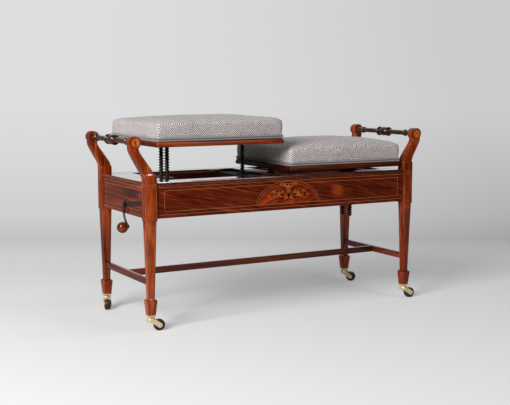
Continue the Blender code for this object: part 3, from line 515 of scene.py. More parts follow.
def armSections(lean):  # height, middle and half width of level slices, from the rim up
    reach = lean * (1 + leg["overreach"])
    elbow = Vector((reach, leg["elbow"]))
    knee = Vector((0, leg["elbow"] - reach / tan(radians(leg["slope"]))))
    straight = [knee.lerp(elbow, share) for share in leg["straight"]]
    head = Vector((lean, bench["bossZ"] - leg["headDrop"]))
    spine = [Vector((0, bench["rimTop"])), knee, *straight, elbow, head]
    for _ in range(leg["easing"]):
        cut = [a.lerp(b, share) for a, b in zip(spine, spine[1:]) for share in (0.25, 0.75)]
        spine = [spine[0], *cut, spine[-1]]
    low, high = leg["ledge"]
    floor, gap = bench["rimTop"] + leg["rimGap"], leg["ledgeGap"]
    heights = [z for _, z in spine if floor < z < low - gap or z > high + gap]
    sections = []
    for z in sorted([*heights, low, high]):
        before, after = next((a, b) for a, b in zip(spine, spine[1:]) if z <= b.y + 1e-9)
        x = before.lerp(after, (z - before.y) / (after.y - before.y)).x
        share = max(0, min(1, (z - leg["taper"]) / (leg["elbow"] - leg["taper"])))
        sections.append((z, bench["legX"] + x, leg["block"] + (leg["neck"] - leg["block"]) * share))
    return sections


def makeLeg(name):
    sx, sy = corners[name]
    lean = bench["leans"][name]
    bm = bmesh.new()
    rings = []

    def ring(x, z, half, depth):
        small = roundedBox(-half, half, -depth, depth, leg["corner"], 3)
        rings.append([(sx * (x + p.x), sy * bench["legY"] + p.y, z) for p in small])

    for z, half in leg["profile"]:
        ring(bench["legX"], z, half, half)
    ring(bench["legX"], bench["rimTop"], leg["block"], leg["block"])
    for z, x, half in armSections(lean):
        ring(x, z, half, leg["armDepth"] / 2 if z > leg["ledge"][0] else leg["block"])
    loft(bm, rings)
    radius, half = leg["bossRadius"], leg["bossHalf"]
    flat = -half + leg["bossDish"]
    rim = [(0.0004, flat), (radius * 0.84, flat), (radius * 0.86, -half), (radius - 0.0012, -half),
           (radius - 0.0003, -half + 0.0004), (radius, -half + 0.0012)]
    rim += [(r, -y) for r, y in reversed(rim)]
    lathe(bm, rim, (sx * (bench["legX"] + lean), sy * bench["legY"], bench["bossZ"]), (0, 1, 0), 56)
    addPiece(f"leg_with_arm_{name}", bm, "legwood", "frame", [f"leg_{name}"])


for name in corners:
    makeLeg(name)
print("legs and arms done")


# hand rails between the arms
handRail = {
    "half": 0.15795, "rod": 0.008, "steps": 84,
    "bulb": 0.01475, "bulbHalf": 0.019, "reeds": 14, "reedDepth": 0.09, "reedHalf": 0.0185,
    "middleRing": 0.0155, "middleAt": 0.0246, "middleHalf": 0.0046,
    "endRing": 0.011, "ringAt": 0.11795, "ringHalf": 0.0045, "cove": 0.007,
}


def bead(centre, halfWidth, low, high, points=9):
    shares = [-1 + 2 * i / (points - 1) for i in range(points)]
    return [(low + (high - low) * sqrt(max(0, 1 - s * s)), centre + halfWidth * s) for s in shares]


def makeHandRail(side):
    rod, ringAt, cove = handRail["rod"], handRail["ringAt"], handRail["cove"]
    half = [(rod * 1.1, 0.0197)]
    half += bead(handRail["middleAt"], handRail["middleHalf"], rod * 1.12, handRail["middleRing"])
    half += [(rod * 1.06, 0.03), (rod * 0.96, 0.04), (rod * 1.02, 0.076), (rod * 0.95, ringAt - cove)]
    half += bead(ringAt, handRail["ringHalf"], rod * 0.95, handRail["endRing"])
    half += [(rod * 0.95, ringAt + cove), (rod, handRail["half"])]
    bulb = bead(0, handRail["bulbHalf"], rod * 1.08, handRail["bulb"], 17)
    profile = [(r, -y) for r, y in reversed(half)] + bulb + half
    lean = sum(bench["leans"][f"{end}_{side}"] for end in ends) / 2
    x = sides[side] * (bench["legX"] + lean)

    def turning(i, a):  # the bulb is reeded
        r, y = profile[i]
        depth = handRail["reedDepth"] * max(0, 1 - (y / handRail["reedHalf"]) ** 2)
        return r * (1 - depth * (1 - abs(sin(handRail["reeds"] / 2 * a))))

    bm = bmesh.new()
    sweep(bm, [(x, y, bench["bossZ"]) for _, y in profile], turning, handRail["steps"])
    addPiece(f"turned_hand_rail_{side}", bm, "railwood", "frame", [f"hand_rail_{side}"], 50)


for side in sides:
    makeHandRail(side)
print("hand rails done")


# inlay, laid as thin slips that stand just proud of the polished faces
inlay = {"proud": 0.00012, "sunk": 0.0004, "string": 0.0011, "fine": 0.0009}


def strip(bm, path, width, place, closed=False, tail=1.0):
    path = [Vector(p) for p in path]
    count = len(path)
    rows = []
    for i, point in enumerate(path):
        into = point - path[i - 1] if closed or i else path[1] - point
        onward = path[(i + 1) % count] - point if closed or i < count - 1 else into
        into, onward = into.normalized(), onward.normalized()
        along = (into + onward).normalized()
        half = width / 2 * (1 + (tail - 1) * i / (count - 1)) / max(0.4, along.dot(into))
        side = Vector((-along.y, along.x)) * half
        a, b = point + side, point - side
        proud, sunk = inlay["proud"], -inlay["sunk"]
        rows.append([place(*a, proud), place(*b, proud), place(*b, sunk), place(*a, sunk)])
    loft(bm, rows, closed)


def slip(bm, outline, place, proud=None):  # a flat piece of veneer
    proud = inlay["proud"] if proud is None else proud
    loft(bm, [[place(u, v, -inlay["sunk"]) for u, v in outline], [place(u, v, proud) for u, v in outline]])


def disc(u, v, radius, steps=24):
    turns = [2 * pi * i / steps for i in range(steps)]
    return [(u + radius * cos(a), v + radius * sin(a)) for a in turns]


def bar(half, z):  # a level line
    return [(-half, z), (half, z)]


def oblong(half, low, high):
    return [*bar(half, low), *reversed(bar(half, high))]


def leaf(u, v, heading, length, width, points=7):
    along = Vector((cos(heading), sin(heading)))
    side = Vector((-along.y, along.x))
    shares = [i / points for i in range(1, points)]
    bulge = [sin(pi * s ** 0.8) * width / 2 for s in shares]
    base = Vector((u, v))
    left = [base + along * length * s + side * b for s, b in zip(shares, bulge)]
    right = [base + along * length * s - side * b for s, b in zip(shares, bulge)]
    return [tuple(p) for p in [base, *right, base + along * length, *reversed(left)]]


def scroll(u, v, heading, length, slow, fast, steps=26):  # a stem whose curl tightens, as (u, v, heading)
    points = []
    for i in range(steps + 1):
        points.append((u, v, heading))
        share = i / steps
        heading += (slow + (fast - slow) * share * share) * length / steps
        u += cos(heading) * length / steps
        v += sin(heading) * length / steps
    return points


apronInlay = {
    "outer": (0.3367, 0.4165), "inner": (0.3465, 0.4065),  # heights of the lines
    "outerReach": 0.439, "innerReach": 0.4165,  # along the front and back
    "outerDepth": 0.1535, "innerDepth": 0.131,  # along the ends
    "lunetteGap": 0.0005, "jointGap": 0.0001,
}
lunette = {
    "half": 0.1125, "base": 0.3465, "height": 0.0682, "border": 0.0072, "steps": 64,
    "veneerLift": 0.0007, "veneerProud": 0.00005,
}
foliage = {
    "spread": 1.18, "squeeze": 0.86, "foot": 0.0075,  # fit the drawing into the lunette
    "scrolls": (  # start, heading in degrees, length, slow and fast curl, leaf places
        (0.003, 0.02, 32, 0.098, -6, -185, (0.08, 0.15, 0.22, 0.29, 0.36, 0.43, 0.5, 0.6)),
        (0.0022, 0.03, 62, 0.06, 26, -300, (0.16, 0.28, 0.4)),
        (0.004, 0.0165, -6, 0.07, 8, 215, (0.14, 0.26, 0.38, 0.5)),
    ),
    "stem": 0.0024, "eye": 0.0016, "leaf": 0.015, "leafWidth": 0.42, "leafTurn": 0.75,
    "petals": (24, 48, 72), "petalsAt": 0.0425,  # of the palmette, in degrees from upright
    "urn": ((0.003, 0.0125), (0.0034, 0.014), (0.0014, 0.016), (0.0046, 0.0195), (0.0056, 0.023),
            (0.004, 0.0255), (0.0046, 0.027)),
    "urnBands": ((0.0052, 0.0222, 0.0013), (0.0034, 0.015, 0.001)),  # half length, height, width
    "layers": (0.00012, 0.00014, 0.00016, 0.00018),  # slips that cross stand at different heights
}
legInlay = {
    "darkInset": 0.0017, "paleInset": 0.003,
    "taper": (0.0985, 0.15, 0.2, 0.25, 0.3025), "panel": (0.324, 0.4195),
    "bands": (0.3035, 0.3105), "bandInset": 0.0012, "topBands": (0.4225, 0.4265), "topHalf": 0.0155,
    "armDark": 0.0018, "armPale": 0.0031, "armSkew": 1.15, "armStop": 0.022,
    "disc": 0.0124, "ring": 0.0129, "ringWidth": 0.001, "dot": 0.0023, "smallDot": 0.001, "dotReach": 0.0084,
}


def frontFace(u, v, h):
    return Vector((u, -bench["apronY"] - h, v))


def backFace(u, v, h):
    return Vector((u, bench["apronY"] + h, v))


def endFace(sx):
    return lambda u, v, h: Vector((sx * (bench["apronX"] + h), u, v))


def lunetteArch(inset, lift=0.0):  # half an ellipse, from right to left
    half, height, base = lunette["half"] - inset, lunette["height"] - inset, lunette["base"] + lift
    turns = [pi * i / lunette["steps"] for i in range(lunette["steps"] + 1)]
    return [(half * cos(a), base + height * sin(a)) for a in turns]


def makeApronStrings():
    bm = bmesh.new()
    string = inlay["string"]
    low, high = apronInlay["inner"]
    reach = apronInlay["innerReach"]
    for z in apronInlay["outer"]:
        for place in (frontFace, backFace):
            strip(bm, bar(apronInlay["outerReach"], z), string, place)
        for sx in sides.values():
            strip(bm, bar(apronInlay["outerDepth"], z), string, endFace(sx))
    rise = (high - lunette["base"]) / lunette["height"]
    gapX = lunette["half"] * sqrt(1 - rise ** 2) + apronInlay["lunetteGap"]
    for sx in sides.values():  # the top line stops at the lunette
        line = [(sx * gapX, high), (sx * reach, high), (sx * reach, low), (sx * apronInlay["jointGap"], low)]
        strip(bm, line, string, frontFace)
        strip(bm, oblong(apronInlay["innerDepth"], low, high), string, endFace(sx), True)
    strip(bm, oblong(reach, low, high), string, backFace, True)
    for inset in (0, lunette["border"]):
        strip(bm, lunetteArch(inset), string, frontFace)
    addPiece("apron_strings", bm, "boxwood", "frame")

    bm = bmesh.new()
    inset = lunette["border"] + string / 2
    slip(bm, lunetteArch(inset, lunette["veneerLift"]), frontFace, lunette["veneerProud"])
    addPiece("lunette_veneer", bm, "flameVeneer", "frame")


def makeMarquetry():
    pale, dark = bmesh.new(), bmesh.new()
    lowest, low, high, highest = foliage["layers"]

    def at(mirror):
        spread, foot = mirror * foliage["spread"], lunette["base"] + foliage["foot"]
        return lambda u, v, h: frontFace(u * spread, foot + v * foliage["squeeze"], h)

    for mirror in (-1, 1):
        place = at(mirror)
        for u, v, heading, length, slow, fast, leaves in foliage["scrolls"]:
            stem = scroll(u, v, radians(heading), length, slow, fast)
            strip(pale, [p[:2] for p in stem], foliage["stem"], place, tail=0.5)
            eyeU, eyeV, _ = stem[-1]
            slip(pale, disc(eyeU, eyeV, foliage["eye"], 12), place, high)
            for k, share in enumerate(leaves):
                leafU, leafV, onward = stem[round(share * (len(stem) - 1))]
                turn = foliage["leafTurn"] if k % 2 else -foliage["leafTurn"]
                size = foliage["leaf"] * (1 - 0.5 * share)
                blade = leaf(leafU, leafV, onward + turn, size, size * foliage["leafWidth"])
                slip(pale if k % 3 else dark, blade, place, high)
        for k, lean in enumerate(foliage["petals"]):
            length = foliage["leaf"] - 0.0025 * k
            slip(pale, leaf(0.0006, foliage["petalsAt"], radians(90 - lean), length, 0.0042), place, low)
        slip(pale, leaf(0.0015, 0.013, radians(-24), foliage["leaf"], 0.0044), place, low)
    place = at(1)
    slip(pale, leaf(0, foliage["petalsAt"], pi / 2, 0.0175, 0.0052), place, highest)
    strip(pale, [(0, 0.026), (0, 0.043)], 0.002, place)
    urn = list(foliage["urn"])
    slip(dark, urn + [(-u, v) for u, v in reversed(urn)], place, lowest)
    for half, v, width in foliage["urnBands"]:
        strip(pale, bar(half, v), width, place)
    addPiece("marquetry_pale", pale, "marquetry", "frame")
    addPiece("marquetry_dark", dark, "ebony", "frame")


def makeLegStrings():
    pale, dark, discs = bmesh.new(), bmesh.new(), bmesh.new()
    fine = inlay["fine"]
    for name, (sx, sy) in corners.items():
        legX, legY = sx * bench["legX"], sy * bench["legY"]
        lean = bench["leans"][name]

        def frontOf(u, v, h):
            return Vector((legX + u, legY + sy * (legHalf(v) + h), v))

        def sideOf(u, v, h):
            return Vector((legX + sx * (legHalf(v) + h), legY + u, v))

        for place in (frontOf, sideOf):
            for bm, inset in ((dark, legInlay["darkInset"]), (pale, legInlay["paleInset"])):
                for edge in (-1, 1):
                    taper = [(edge * (legHalf(z) - inset), z) for z in legInlay["taper"]]
                    strip(bm, taper, fine, place)
                low, high = legInlay["panel"]
                strip(bm, oblong(leg["block"] - inset, low + inset, high - inset), fine, place, True)
            for z in legInlay["bands"]:
                strip(pale, bar(legHalf(z) - legInlay["bandInset"], z), fine, place)
            for z in legInlay["topBands"]:
                strip(pale, bar(legInlay["topHalf"], z), fine, place)

        stop = bench["bossZ"] - legInlay["armStop"]
        rows = [row for row in armSections(lean) if leg["ledge"][0] < row[0] < stop]
        for face in (-1, 1):

            def armFace(u, v, h):
                return Vector((sx * u, legY + face * (leg["armDepth"] / 2 + h), v))

            for edge in (-1, 1):
                for bm, inset in ((dark, legInlay["armDark"]), (pale, legInlay["armPale"])):
                    inset *= legInlay["armSkew"]
                    strip(bm, [(x + edge * (half - inset), z) for z, x, half in rows], fine, armFace)

        def bossFace(u, v, h):
            face = leg["bossHalf"] - leg["bossDish"] + h
            return Vector((legX + sx * lean + u, legY + sy * face, bench["bossZ"] + v))

        slip(discs, disc(0, 0, legInlay["disc"], 40), bossFace, 0.0005)
        strip(dark, disc(0, 0, legInlay["ring"], 40), legInlay["ringWidth"], bossFace, True)
        for k in range(9):  # a dot in the middle and eight small ones round it
            reach, size = (legInlay["dotReach"], legInlay["smallDot"]) if k else (0, legInlay["dot"])
            turn = pi / 4 * k
            slip(dark, disc(reach * cos(turn), reach * sin(turn), size, 14), bossFace, 0.0007)
    addPiece("leg_strings", pale, "boxwood", "frame")
    addPiece("leg_dark_lines", dark, "ebony", "frame")
    addPiece("boss_discs", discs, "satinwood", "frame")


makeApronStrings()
makeMarquetry()
makeLegStrings()
print("inlay done")


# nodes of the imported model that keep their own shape
keptNodes = {
    "frontwood": ("apron_front",),
    "backwood": ("apron_back",),
    "endwood": ("apron_left", "apron_right"),
    "crossbar": ("stretcher_long",),
    "sidebar": ("stretcher_left", "stretcher_right"),
    "rimwoodX": ("rim_front", "rim_back"),
    "rimwoodY": ("rim_left", "rim_right", "rim_centre"),
    "japan": tuple(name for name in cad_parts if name.startswith("bridge_")),
    "iron": tuple(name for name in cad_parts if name.startswith(("lift_nut_", "lay_shaft_"))),
}
easing = {"apron": 0.0008, "rim": 0.001, "stretcher": 0.0012, "bridge": 0.0006}

for look, names in keptNodes.items():
    for name in names:
        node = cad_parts[name]
        node.data.materials.clear()
        node.data.materials.append(looks[look])
        width = easing.get(name.split("_")[0])
        if width:  # ease the edges
            node.modifiers.new("weld", "WELD").merge_threshold = 0.00001
            flat = node.modifiers.new("flat", "DECIMATE")
            flat.decimate_type = "DISSOLVE"
            flat.angle_limit = radians(1)
            ease = node.modifiers.new("ease", "BEVEL")
            ease.width = width
            ease.segments = 2
            ease.limit_method = "ANGLE"
            ease.angle_limit = radians(40)
print("kept nodes finished:", sum(map(len, keptNodes.values())))


# seats: board, stuffed cushion and braid
seat = {
    "boardProfile": (  # inset and height
        (0.004, 0.0), (0.0014, 0.0004), (0.0004, 0.0014), (0.0, 0.003), (0.0, 0.01), (0.0006, 0.0122),
        (0.002, 0.014), (0.0038, 0.015), (0.006, 0.0154),
    ),
    "boardCorner": 0.007,
    # the right board has the darker copy of mahogany: painted shade
    "boardLook": {"left": "mahogany", "right": "darkMahogany"},
    "gap": 0.0003,  # over and under the board
    "wall": 0.054,
    "shoulder": 0.007,
    "flatTop": 0.14,  # how far in the top's rings run
    "crown": {"left": 0.008, "right": 0.0165},
    "flatness": 3.5,  # of the crown
    "fuller": {"left": 0.0046, "right": 0.0048},  # the stuffing stands higher toward the right end
    "voxel": 0.005,
    "pressure": 4.0,
    "frames": 20,
    "cap": 0.003,
    "pinHeight": 0.013,
    "dent": 0.0016,
    "dentScale": 9,
    "tape": (  # inset and height of the band under the cords
        (0.0034, 0.0002), (0.003, 0.001), (0.003, 0.011), (0.0036, 0.0119), (0.008, 0.0119), (0.008, 0.0002),
    ),
    "tapeCorner": 0.0065,
    "cord": 0.0025,
    "cordInset": 0.0028,
    "cordRows": ((0.0029, 1), (0.0087, -1)),  # height and hand of the twist
    "cordLay": 0.0085,
    "cordStep": 0.0012,
}


def seatSpan(side):
    return sorted(sides[side] * x for x in (bench["seatInner"], bench["seatOuter"]))


def seatOutline(side, inset, *rounding):
    x0, x1 = seatSpan(side)
    half = bench["seatHalf"]
    return roundedBox(x0 + inset, x1 - inset, inset - half, half - inset, *rounding)


def lifted(outline, z):
    return [(p.x, p.y, z) for p in outline]


def cushionFoot(side):
    return bench["seatZ"][side] + bench["boardThick"] + seat["gap"]


def makeBoard(side):
    bm = bmesh.new()
    z = bench["seatZ"][side]
    rows = seat["boardProfile"]
    loft(bm, [lifted(seatOutline(side, inset, seat["boardCorner"], 6), z + rise) for inset, rise in rows])
    look = seat["boardLook"][side]
    addPiece(f"moulded_board_{side}", bm, look, f"seat_{side}", [f"seat_board_{side}"])


def cushionShape(side, base):  # the stuffing's shape before the cover swells
    wall, bend = seat["wall"], seat["shoulder"]
    profile = [  # inset, height and corner radius
        (0.005, 0.0, 0.008), (0.004, 0.012, 0.008), (0.0004, 0.022, 0.01), (-0.0008, wall * 0.55, 0.012),
        (0.0, wall - bend, 0.013),
    ]
    for k in range(1, 7):  # the shoulder's quarter round
        a = pi / 2 * k / 6
        profile.append((bend * (1 - cos(a)), wall - bend * (1 - sin(a)), 0.013 + 0.01 * k / 6))
    profile += [(bend + seat["flatTop"] * i / 8, wall, 0.022 - 0.002 * i) for i in range(1, 9)]
    bm = bmesh.new()
    loft(bm, [lifted(seatOutline(side, inset, radius, 4, 8), base + rise) for inset, rise, radius in profile])
    return bm


def swell(mesh, base):  # cloth under pressure, tacked down along its foot
    pad = bpy.data.objects.new("swelling_pad", mesh)
    scene.collection.objects.link(pad)
    voxels = pad.modifiers.new("voxels", "REMESH")
    voxels.mode = "VOXEL"
    voxels.voxel_size = seat["voxel"]
    remeshed = bpy.data.meshes.new_from_object(pad.evaluated_get(bpy.context.evaluated_depsgraph_get()))
    pad.modifiers.clear()
    pad.data = remeshed
    start = [v.co.copy() for v in remeshed.vertices]
    tacked = pad.vertex_groups.new(name="tacked")
    tacked.add([i for i, p in enumerate(start) if p.z < base + seat["pinHeight"]], 1, "REPLACE")
    cover = pad.modifiers.new("cover", "CLOTH")
    cover.settings.quality = 5
    cover.settings.mass = 0.3
    cover.settings.use_pressure = True
    cover.settings.uniform_pressure_force = seat["pressure"]
    cover.settings.effector_weights.gravity = 0
    cover.settings.vertex_group_mass = "tacked"
    cover.point_cache.frame_start = 1
    cover.point_cache.frame_end = seat["frames"]
    for number in range(1, seat["frames"] + 1):
        scene.frame_set(number)
    swollen = pad.evaluated_get(bpy.context.evaluated_depsgraph_get())
    for vertex, rest, moved in zip(remeshed.vertices, start, [v.co.copy() for v in swollen.data.vertices]):
        step = moved - rest
        vertex.co = rest + step * min(1, seat["cap"] / max(step.length, 1e-9))
    pad.modifiers.clear()
    scene.frame_set(1)
    bm = bmesh.new()
    bm.from_mesh(remeshed)
    for _ in range(2):  # takes the voxels' terraces out
        loose = [v for v in bm.verts if v.co.z > base + 0.004]
        bmesh.ops.smooth_vert(bm, verts=loose, factor=0.5, use_axis_x=True, use_axis_y=True, use_axis_z=True)
    bpy.data.objects.remove(pad)
    return bm


def makeCushions():
    x0, _ = seatSpan("right")
    base = cushionFoot("right")
    shape = bpy.data.meshes.new("stuffing")
    cushionShape("right", base).to_mesh(shape)
    swollen = swell(shape, base)
    for side in sides:
        bm = swollen.copy()
        left, right = seatSpan(side)
        lift = bench["seatZ"][side] - bench["seatZ"]["right"]
        bmesh.ops.translate(bm, verts=bm.verts, vec=(left - x0, 0, lift))
        foot = base + lift
        middle, halfX = (left + right) / 2, (right - left) / 2
        for v in bm.verts:
            u, w = min(1, abs(v.co.x - middle) / halfX), min(1, abs(v.co.y) / bench["seatHalf"])
            swelling = seat["crown"][side] * (1 - u ** seat["flatness"]) * (1 - w ** seat["flatness"])
            swelling += seat["fuller"][side] * max(0, min(1, (v.co.x - left) / (right - left))) ** 1.5
            v.co.z += swelling * max(0, v.co.z - foot) / seat["wall"]
        scale = seat["dentScale"]
        for v in bm.verts:  # each pad has its own soft dents from use
            if v.co.z > foot + 0.02:
                push = noise.noise((v.co.x * scale + left * 40, v.co.y * scale, 0)) * seat["dent"]
                v.co += v.normal * push if v.co.z > foot + 0.05 else v.normal * push * 0.5
        body = f"seat_{side}"
        piece = addPiece(f"stuffed_cushion_{side}", bm, "cloth", body, [f"cushion_{side}"], 180)
        piece.modifiers.new("finer", "SUBSURF").render_levels = 1
    swollen.free()


def makeBraid(side):
    base = cushionFoot(side)
    corner, step = seat["tapeCorner"], seat["cordStep"]
    bm = bmesh.new()
    loft(bm, [lifted(seatOutline(side, inset, corner, 6), base + z) for inset, z in seat["tape"]], True)
    points = seatOutline(side, seat["cordInset"], corner, 6)
    line = []
    for a, b in zip(points, points[1:] + points[:1]):
        count = max(1, round((b - a).length / step))
        line += [a.lerp(b, k / count) for k in range(count)]
    turns = round(len(line) / (seat["cordLay"] / step))
    for z, hand in seat["cordRows"]:

        def strand(i, a):
            return seat["cord"] * (0.88 + 0.12 * abs(cos(1.5 * a - hand * pi * turns * i / len(line))))

        sweep(bm, lifted(line, base + z), strand, 10, True)
    addPiece(f"braid_{side}", bm, "braid", f"seat_{side}")


for side in sides:
    makeBoard(side)
    makeBraid(side)
makeCushions()
print("seats done")


# lifting screws under the seats
screw = {
    "places": {  # x, y, length and hand
        "front": (0.337, -0.0305, 0.171, 1), "back": (0.337, 0.0105, 0.171, -1), "inner": (0.0535, 0.0105, 0.134, 1),
    },
    "core": 0.0043, "crest": 0.00775, "pitch": 0.0083, "flank": 3.2, "valley": 0.22, "around": 28, "perTurn": 10,
    "flange": 0.017, "flangeThick": 0.004, "headReach": 0.0132,
    "head": ((0.0004, -0.0013), (0.0016, -0.0011), (0.0024, -0.0004), (0.0026, 0.0006)),
}


def makeScrew(side, place):
    x, y, length, hand = screw["places"][place]
    x *= sides[side]
    top = bench["seatZ"][side] - seat["gap"]
    low = top - screw["flangeThick"] - length
    bm = bmesh.new()
    rings = []
    steps = round(length / screw["pitch"] * screw["perTurn"])
    for i in range(steps + 1):
        z = length * i / steps
        ring = []
        for k in range(screw["around"]):
            share = (z / screw["pitch"] - hand * k / screw["around"]) % 1
            ridge = max(0, min(1, screw["flank"] * (0.5 - abs(share - 0.5)) - screw["valley"]))
            radius = screw["core"] + (screw["crest"] - screw["core"]) * ridge
            if i < 3:  # the end is dressed to a short cone
                radius = min(radius, screw["core"] * (0.72 + 0.14 * i))
            a = 2 * pi * k / screw["around"]
            ring.append((x + radius * cos(a), y + radius * sin(a), low + z))
        rings.append(ring)
    loft(bm, rings)
    flange, thick = screw["flange"], screw["flangeThick"]
    plate = [(0.0076, -0.006), (0.009, -0.0045), (0.0102, -0.0008), (flange - 0.001, 0), (flange, 0.0008),
             (flange, thick)]
    lathe(bm, plate, (x, y, top - thick), (0, 0, 1), 40)
    for k in range(3):  # wood screws that hold the flange
        a = 2 * pi * k / 3 + 0.5
        spot = (x + screw["headReach"] * cos(a), y + screw["headReach"] * sin(a), top - thick)
        lathe(bm, screw["head"], spot, (0, 0, 1), 14)
    addPiece(f"threaded_screw_{place}_{side}", bm, "iron", f"seat_{side}", [f"lift_screw_{place}_{side}"])


for side in sides:
    for place in screw["places"]:
        makeScrew(side, place)
print("lifting screws done")


# cranks, with the balls that turn on them
crank = {
    "hang": {"left": 30.6, "right": 100}, "radius": 0.076, "bow": 0.024, "shares": (0.24, 0.73),
    "rod": 0.0033, "bend": 0.009, "armX": 0.4782, "shaft": 0.0045, "gearApex": 0.337, "shaftStop": 0.0155,
    "hub": ((0.0054, -0.0039), (0.006, -0.003), (0.006, 0.0014), (0.0056, 0.0024), (0.0046, 0.003),
            (0.004, 0.0038), (0.003, 0.004), (0.0005, 0.004)),
    "gearBoss": ((0.0088, 0.0168), (0.009, 0.0173), (0.009, 0.0228), (0.0084, 0.0237)),
    "spindle": ((0.0036, -0.019), (0.0046, -0.0186), (0.0046, -0.0168), (0.0034, -0.0165), (0.0027, -0.016),
                (0.0027, 0.008)),
    "ballX": 0.4997, "ball": 0.0165, "bore": 0.0032, "boreEnd": 0.008,
    "bush": ((0.0049, -0.0183), (0.008, -0.0183), (0.008, 0), (0.0112, 0), (0.012, 0.0006), (0.012, 0.0013),
             (0.0112, 0.0021), (0.0085, 0.0024), (0.0062, 0.0025), (0.0049, 0.0022)),
    "bushGap": 0.0003,
    "rest": ((-0.046, 0.358), (-0.149, 0.37)), "restHalf": 0.0075,  # flat iron bar on the end apron
    "restProfile": ((0.0002, 0.0), (0.0016, 0.0), (0.0022, 0.0006)),
    "restHead": ((0.0003, 0.0022), (0.002, 0.0024), (0.0026, 0.0023), (0.0027, 0.0018)),
}
mitreGear = {
    "radius": 0.0165, "face": 0.0055, "teeth": 10, "addendum": 0.7, "dedendum": 0.98, "tip": 0.24, "root": 0.56,
}


def makePinion(bm, apex, axis):  # one tooth points up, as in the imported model
    axis, side = Vector((axis, 0, 0)), Vector((0, 0, 1))
    third = axis.cross(side)
    pitch, teeth = mitreGear["radius"], mitreGear["teeth"]
    module = 2 * pitch / teeth * sqrt(0.5)
    tall, deep = mitreGear["addendum"] * module, mitreGear["dedendum"] * module
    tip, root = (pitch + tall, pitch - tall), (pitch - deep, pitch + deep)
    wide, narrow = mitreGear["root"], mitreGear["tip"]
    scales = (1, 1 - mitreGear["face"] / pitch)
    rows = []
    for scale in scales:
        ring = []
        for i in range(teeth):
            for share, (r, h) in ((-wide, root), (-narrow, tip), (narrow, tip), (wide, root)):
                a = 2 * pi / teeth * (i + share / 2)
                ring.append(Vector(apex) + ((side * cos(a) + third * sin(a)) * r + axis * h) * scale)
        rows.append([bm.verts.new(p) for p in ring])
    hubs = [bm.verts.new(Vector(apex) + axis * root[1] * scale) for scale in scales]
    count = len(rows[0])
    for i in range(count):
        j = (i + 1) % count
        bm.faces.new((rows[0][i], rows[0][j], rows[1][j], rows[1][i]))
        bm.faces.new((rows[0][j], rows[0][i], hubs[0]))
        bm.faces.new((rows[1][i], rows[1][j], hubs[1]))


def makeCrank(side):
    sx = sides[side]
    outward = Vector((sx, 0, 0))
    y, z, armX = bench["shaftY"], bench["shaftZ"], crank["armX"]
    hang = Matrix.Translation((sx * armX, y, z)) @ Matrix.Rotation(-radians(crank["hang"][side]), 4, "X")
    radius = crank["radius"]
    bow = [(0, 0, 0)] + [(0, crank["bow"], -radius * share) for share in crank["shares"]] + [(0, 0, -radius)]
    elbow = hang @ Vector((0, 0, -radius))
    ball = elbow + Vector((sx * (crank["ballX"] - armX), 0, 0))

    bm = bmesh.new()
    shaft, apex = crank["shaft"], (sx * crank["gearApex"], y, z)
    hub = [(shaft * 0.99, -(armX - crank["gearApex"] - crank["shaftStop"])), (shaft, -0.0042), *crank["hub"]]
    lathe(bm, hub, (sx * armX, y, z), outward, 40)
    makePinion(bm, apex, sx)
    lathe(bm, crank["gearBoss"], apex, outward, 32)
    bend = crank["bend"]  # the rod turns outward in an easy curve
    turning = (hang @ bezier(bow, 0.9), elbow, elbow + Vector((sx * bend, 0, 0)))
    arm = [hang @ bezier(bow, i / 40) for i in range(41)]
    arm = [p for p in arm if (p - elbow).length > bend] + [bezier(turning, k / 8) for k in range(1, 9)]
    arm.append(ball - Vector((sx * 0.015, 0, 0)))
    sweep(bm, arm, lambda i, a: crank["rod"] * (1.16 - 0.16 * min(1, i / 20)), 16)
    lathe(bm, crank["spindle"], ball, outward, 28)
    addPiece(f"crank_arm_{side}", bm, "iron", f"crank_{side}", [f"crank_{side}"])

    bm = bmesh.new()
    r, bore = crank["ball"], crank["bore"]
    start = asin(bore / r)
    turns = [start + (pi - start - 0.02) * i / 28 for i in range(29)]
    profile = [(bore, crank["boreEnd"]), (bore, -r * cos(start) + 0.0004)]
    profile += [(r * sin(a), -r * cos(a)) for a in turns]
    lathe(bm, profile, ball, outward, 48)
    addPiece(f"turned_ball_{side}", bm, "mahogany", f"ball_{side}", [f"crank_ball_{side}"])

    bm = bmesh.new()
    lathe(bm, crank["bush"], (sx * (bench["apronX"] + crank["bushGap"]), y, z), outward, 40, True)
    addPiece(f"bush_{side}", bm, "bronze", "frame", [f"crank_bush_{side}"])

    low, high = (Vector(spot) for spot in crank["rest"])
    along = (high - low) / 2
    up = Vector((-along.y, along.x)).normalized()
    bm = bmesh.new()
    rows = []
    for out, inset in crank["restProfile"]:
        reach, half = along.length - inset, crank["restHalf"] - inset
        shape = roundedBox(-reach, reach, -half, half, 0.0025)
        spots = [(low + high) / 2 + along.normalized() * p.x + up * p.y for p in shape]
        rows.append([(sx * (bench["apronX"] + out), *spot) for spot in spots])
    loft(bm, rows)
    for share in (0.16, 0.84):  # countersunk screws
        lathe(bm, crank["restHead"], (sx * bench["apronX"], *low.lerp(high, share)), outward, 16)
    addPiece(f"crank_rest_{side}", bm, "japan", "frame")


for side in sides:
    makeCrank(side)
print("cranks done")


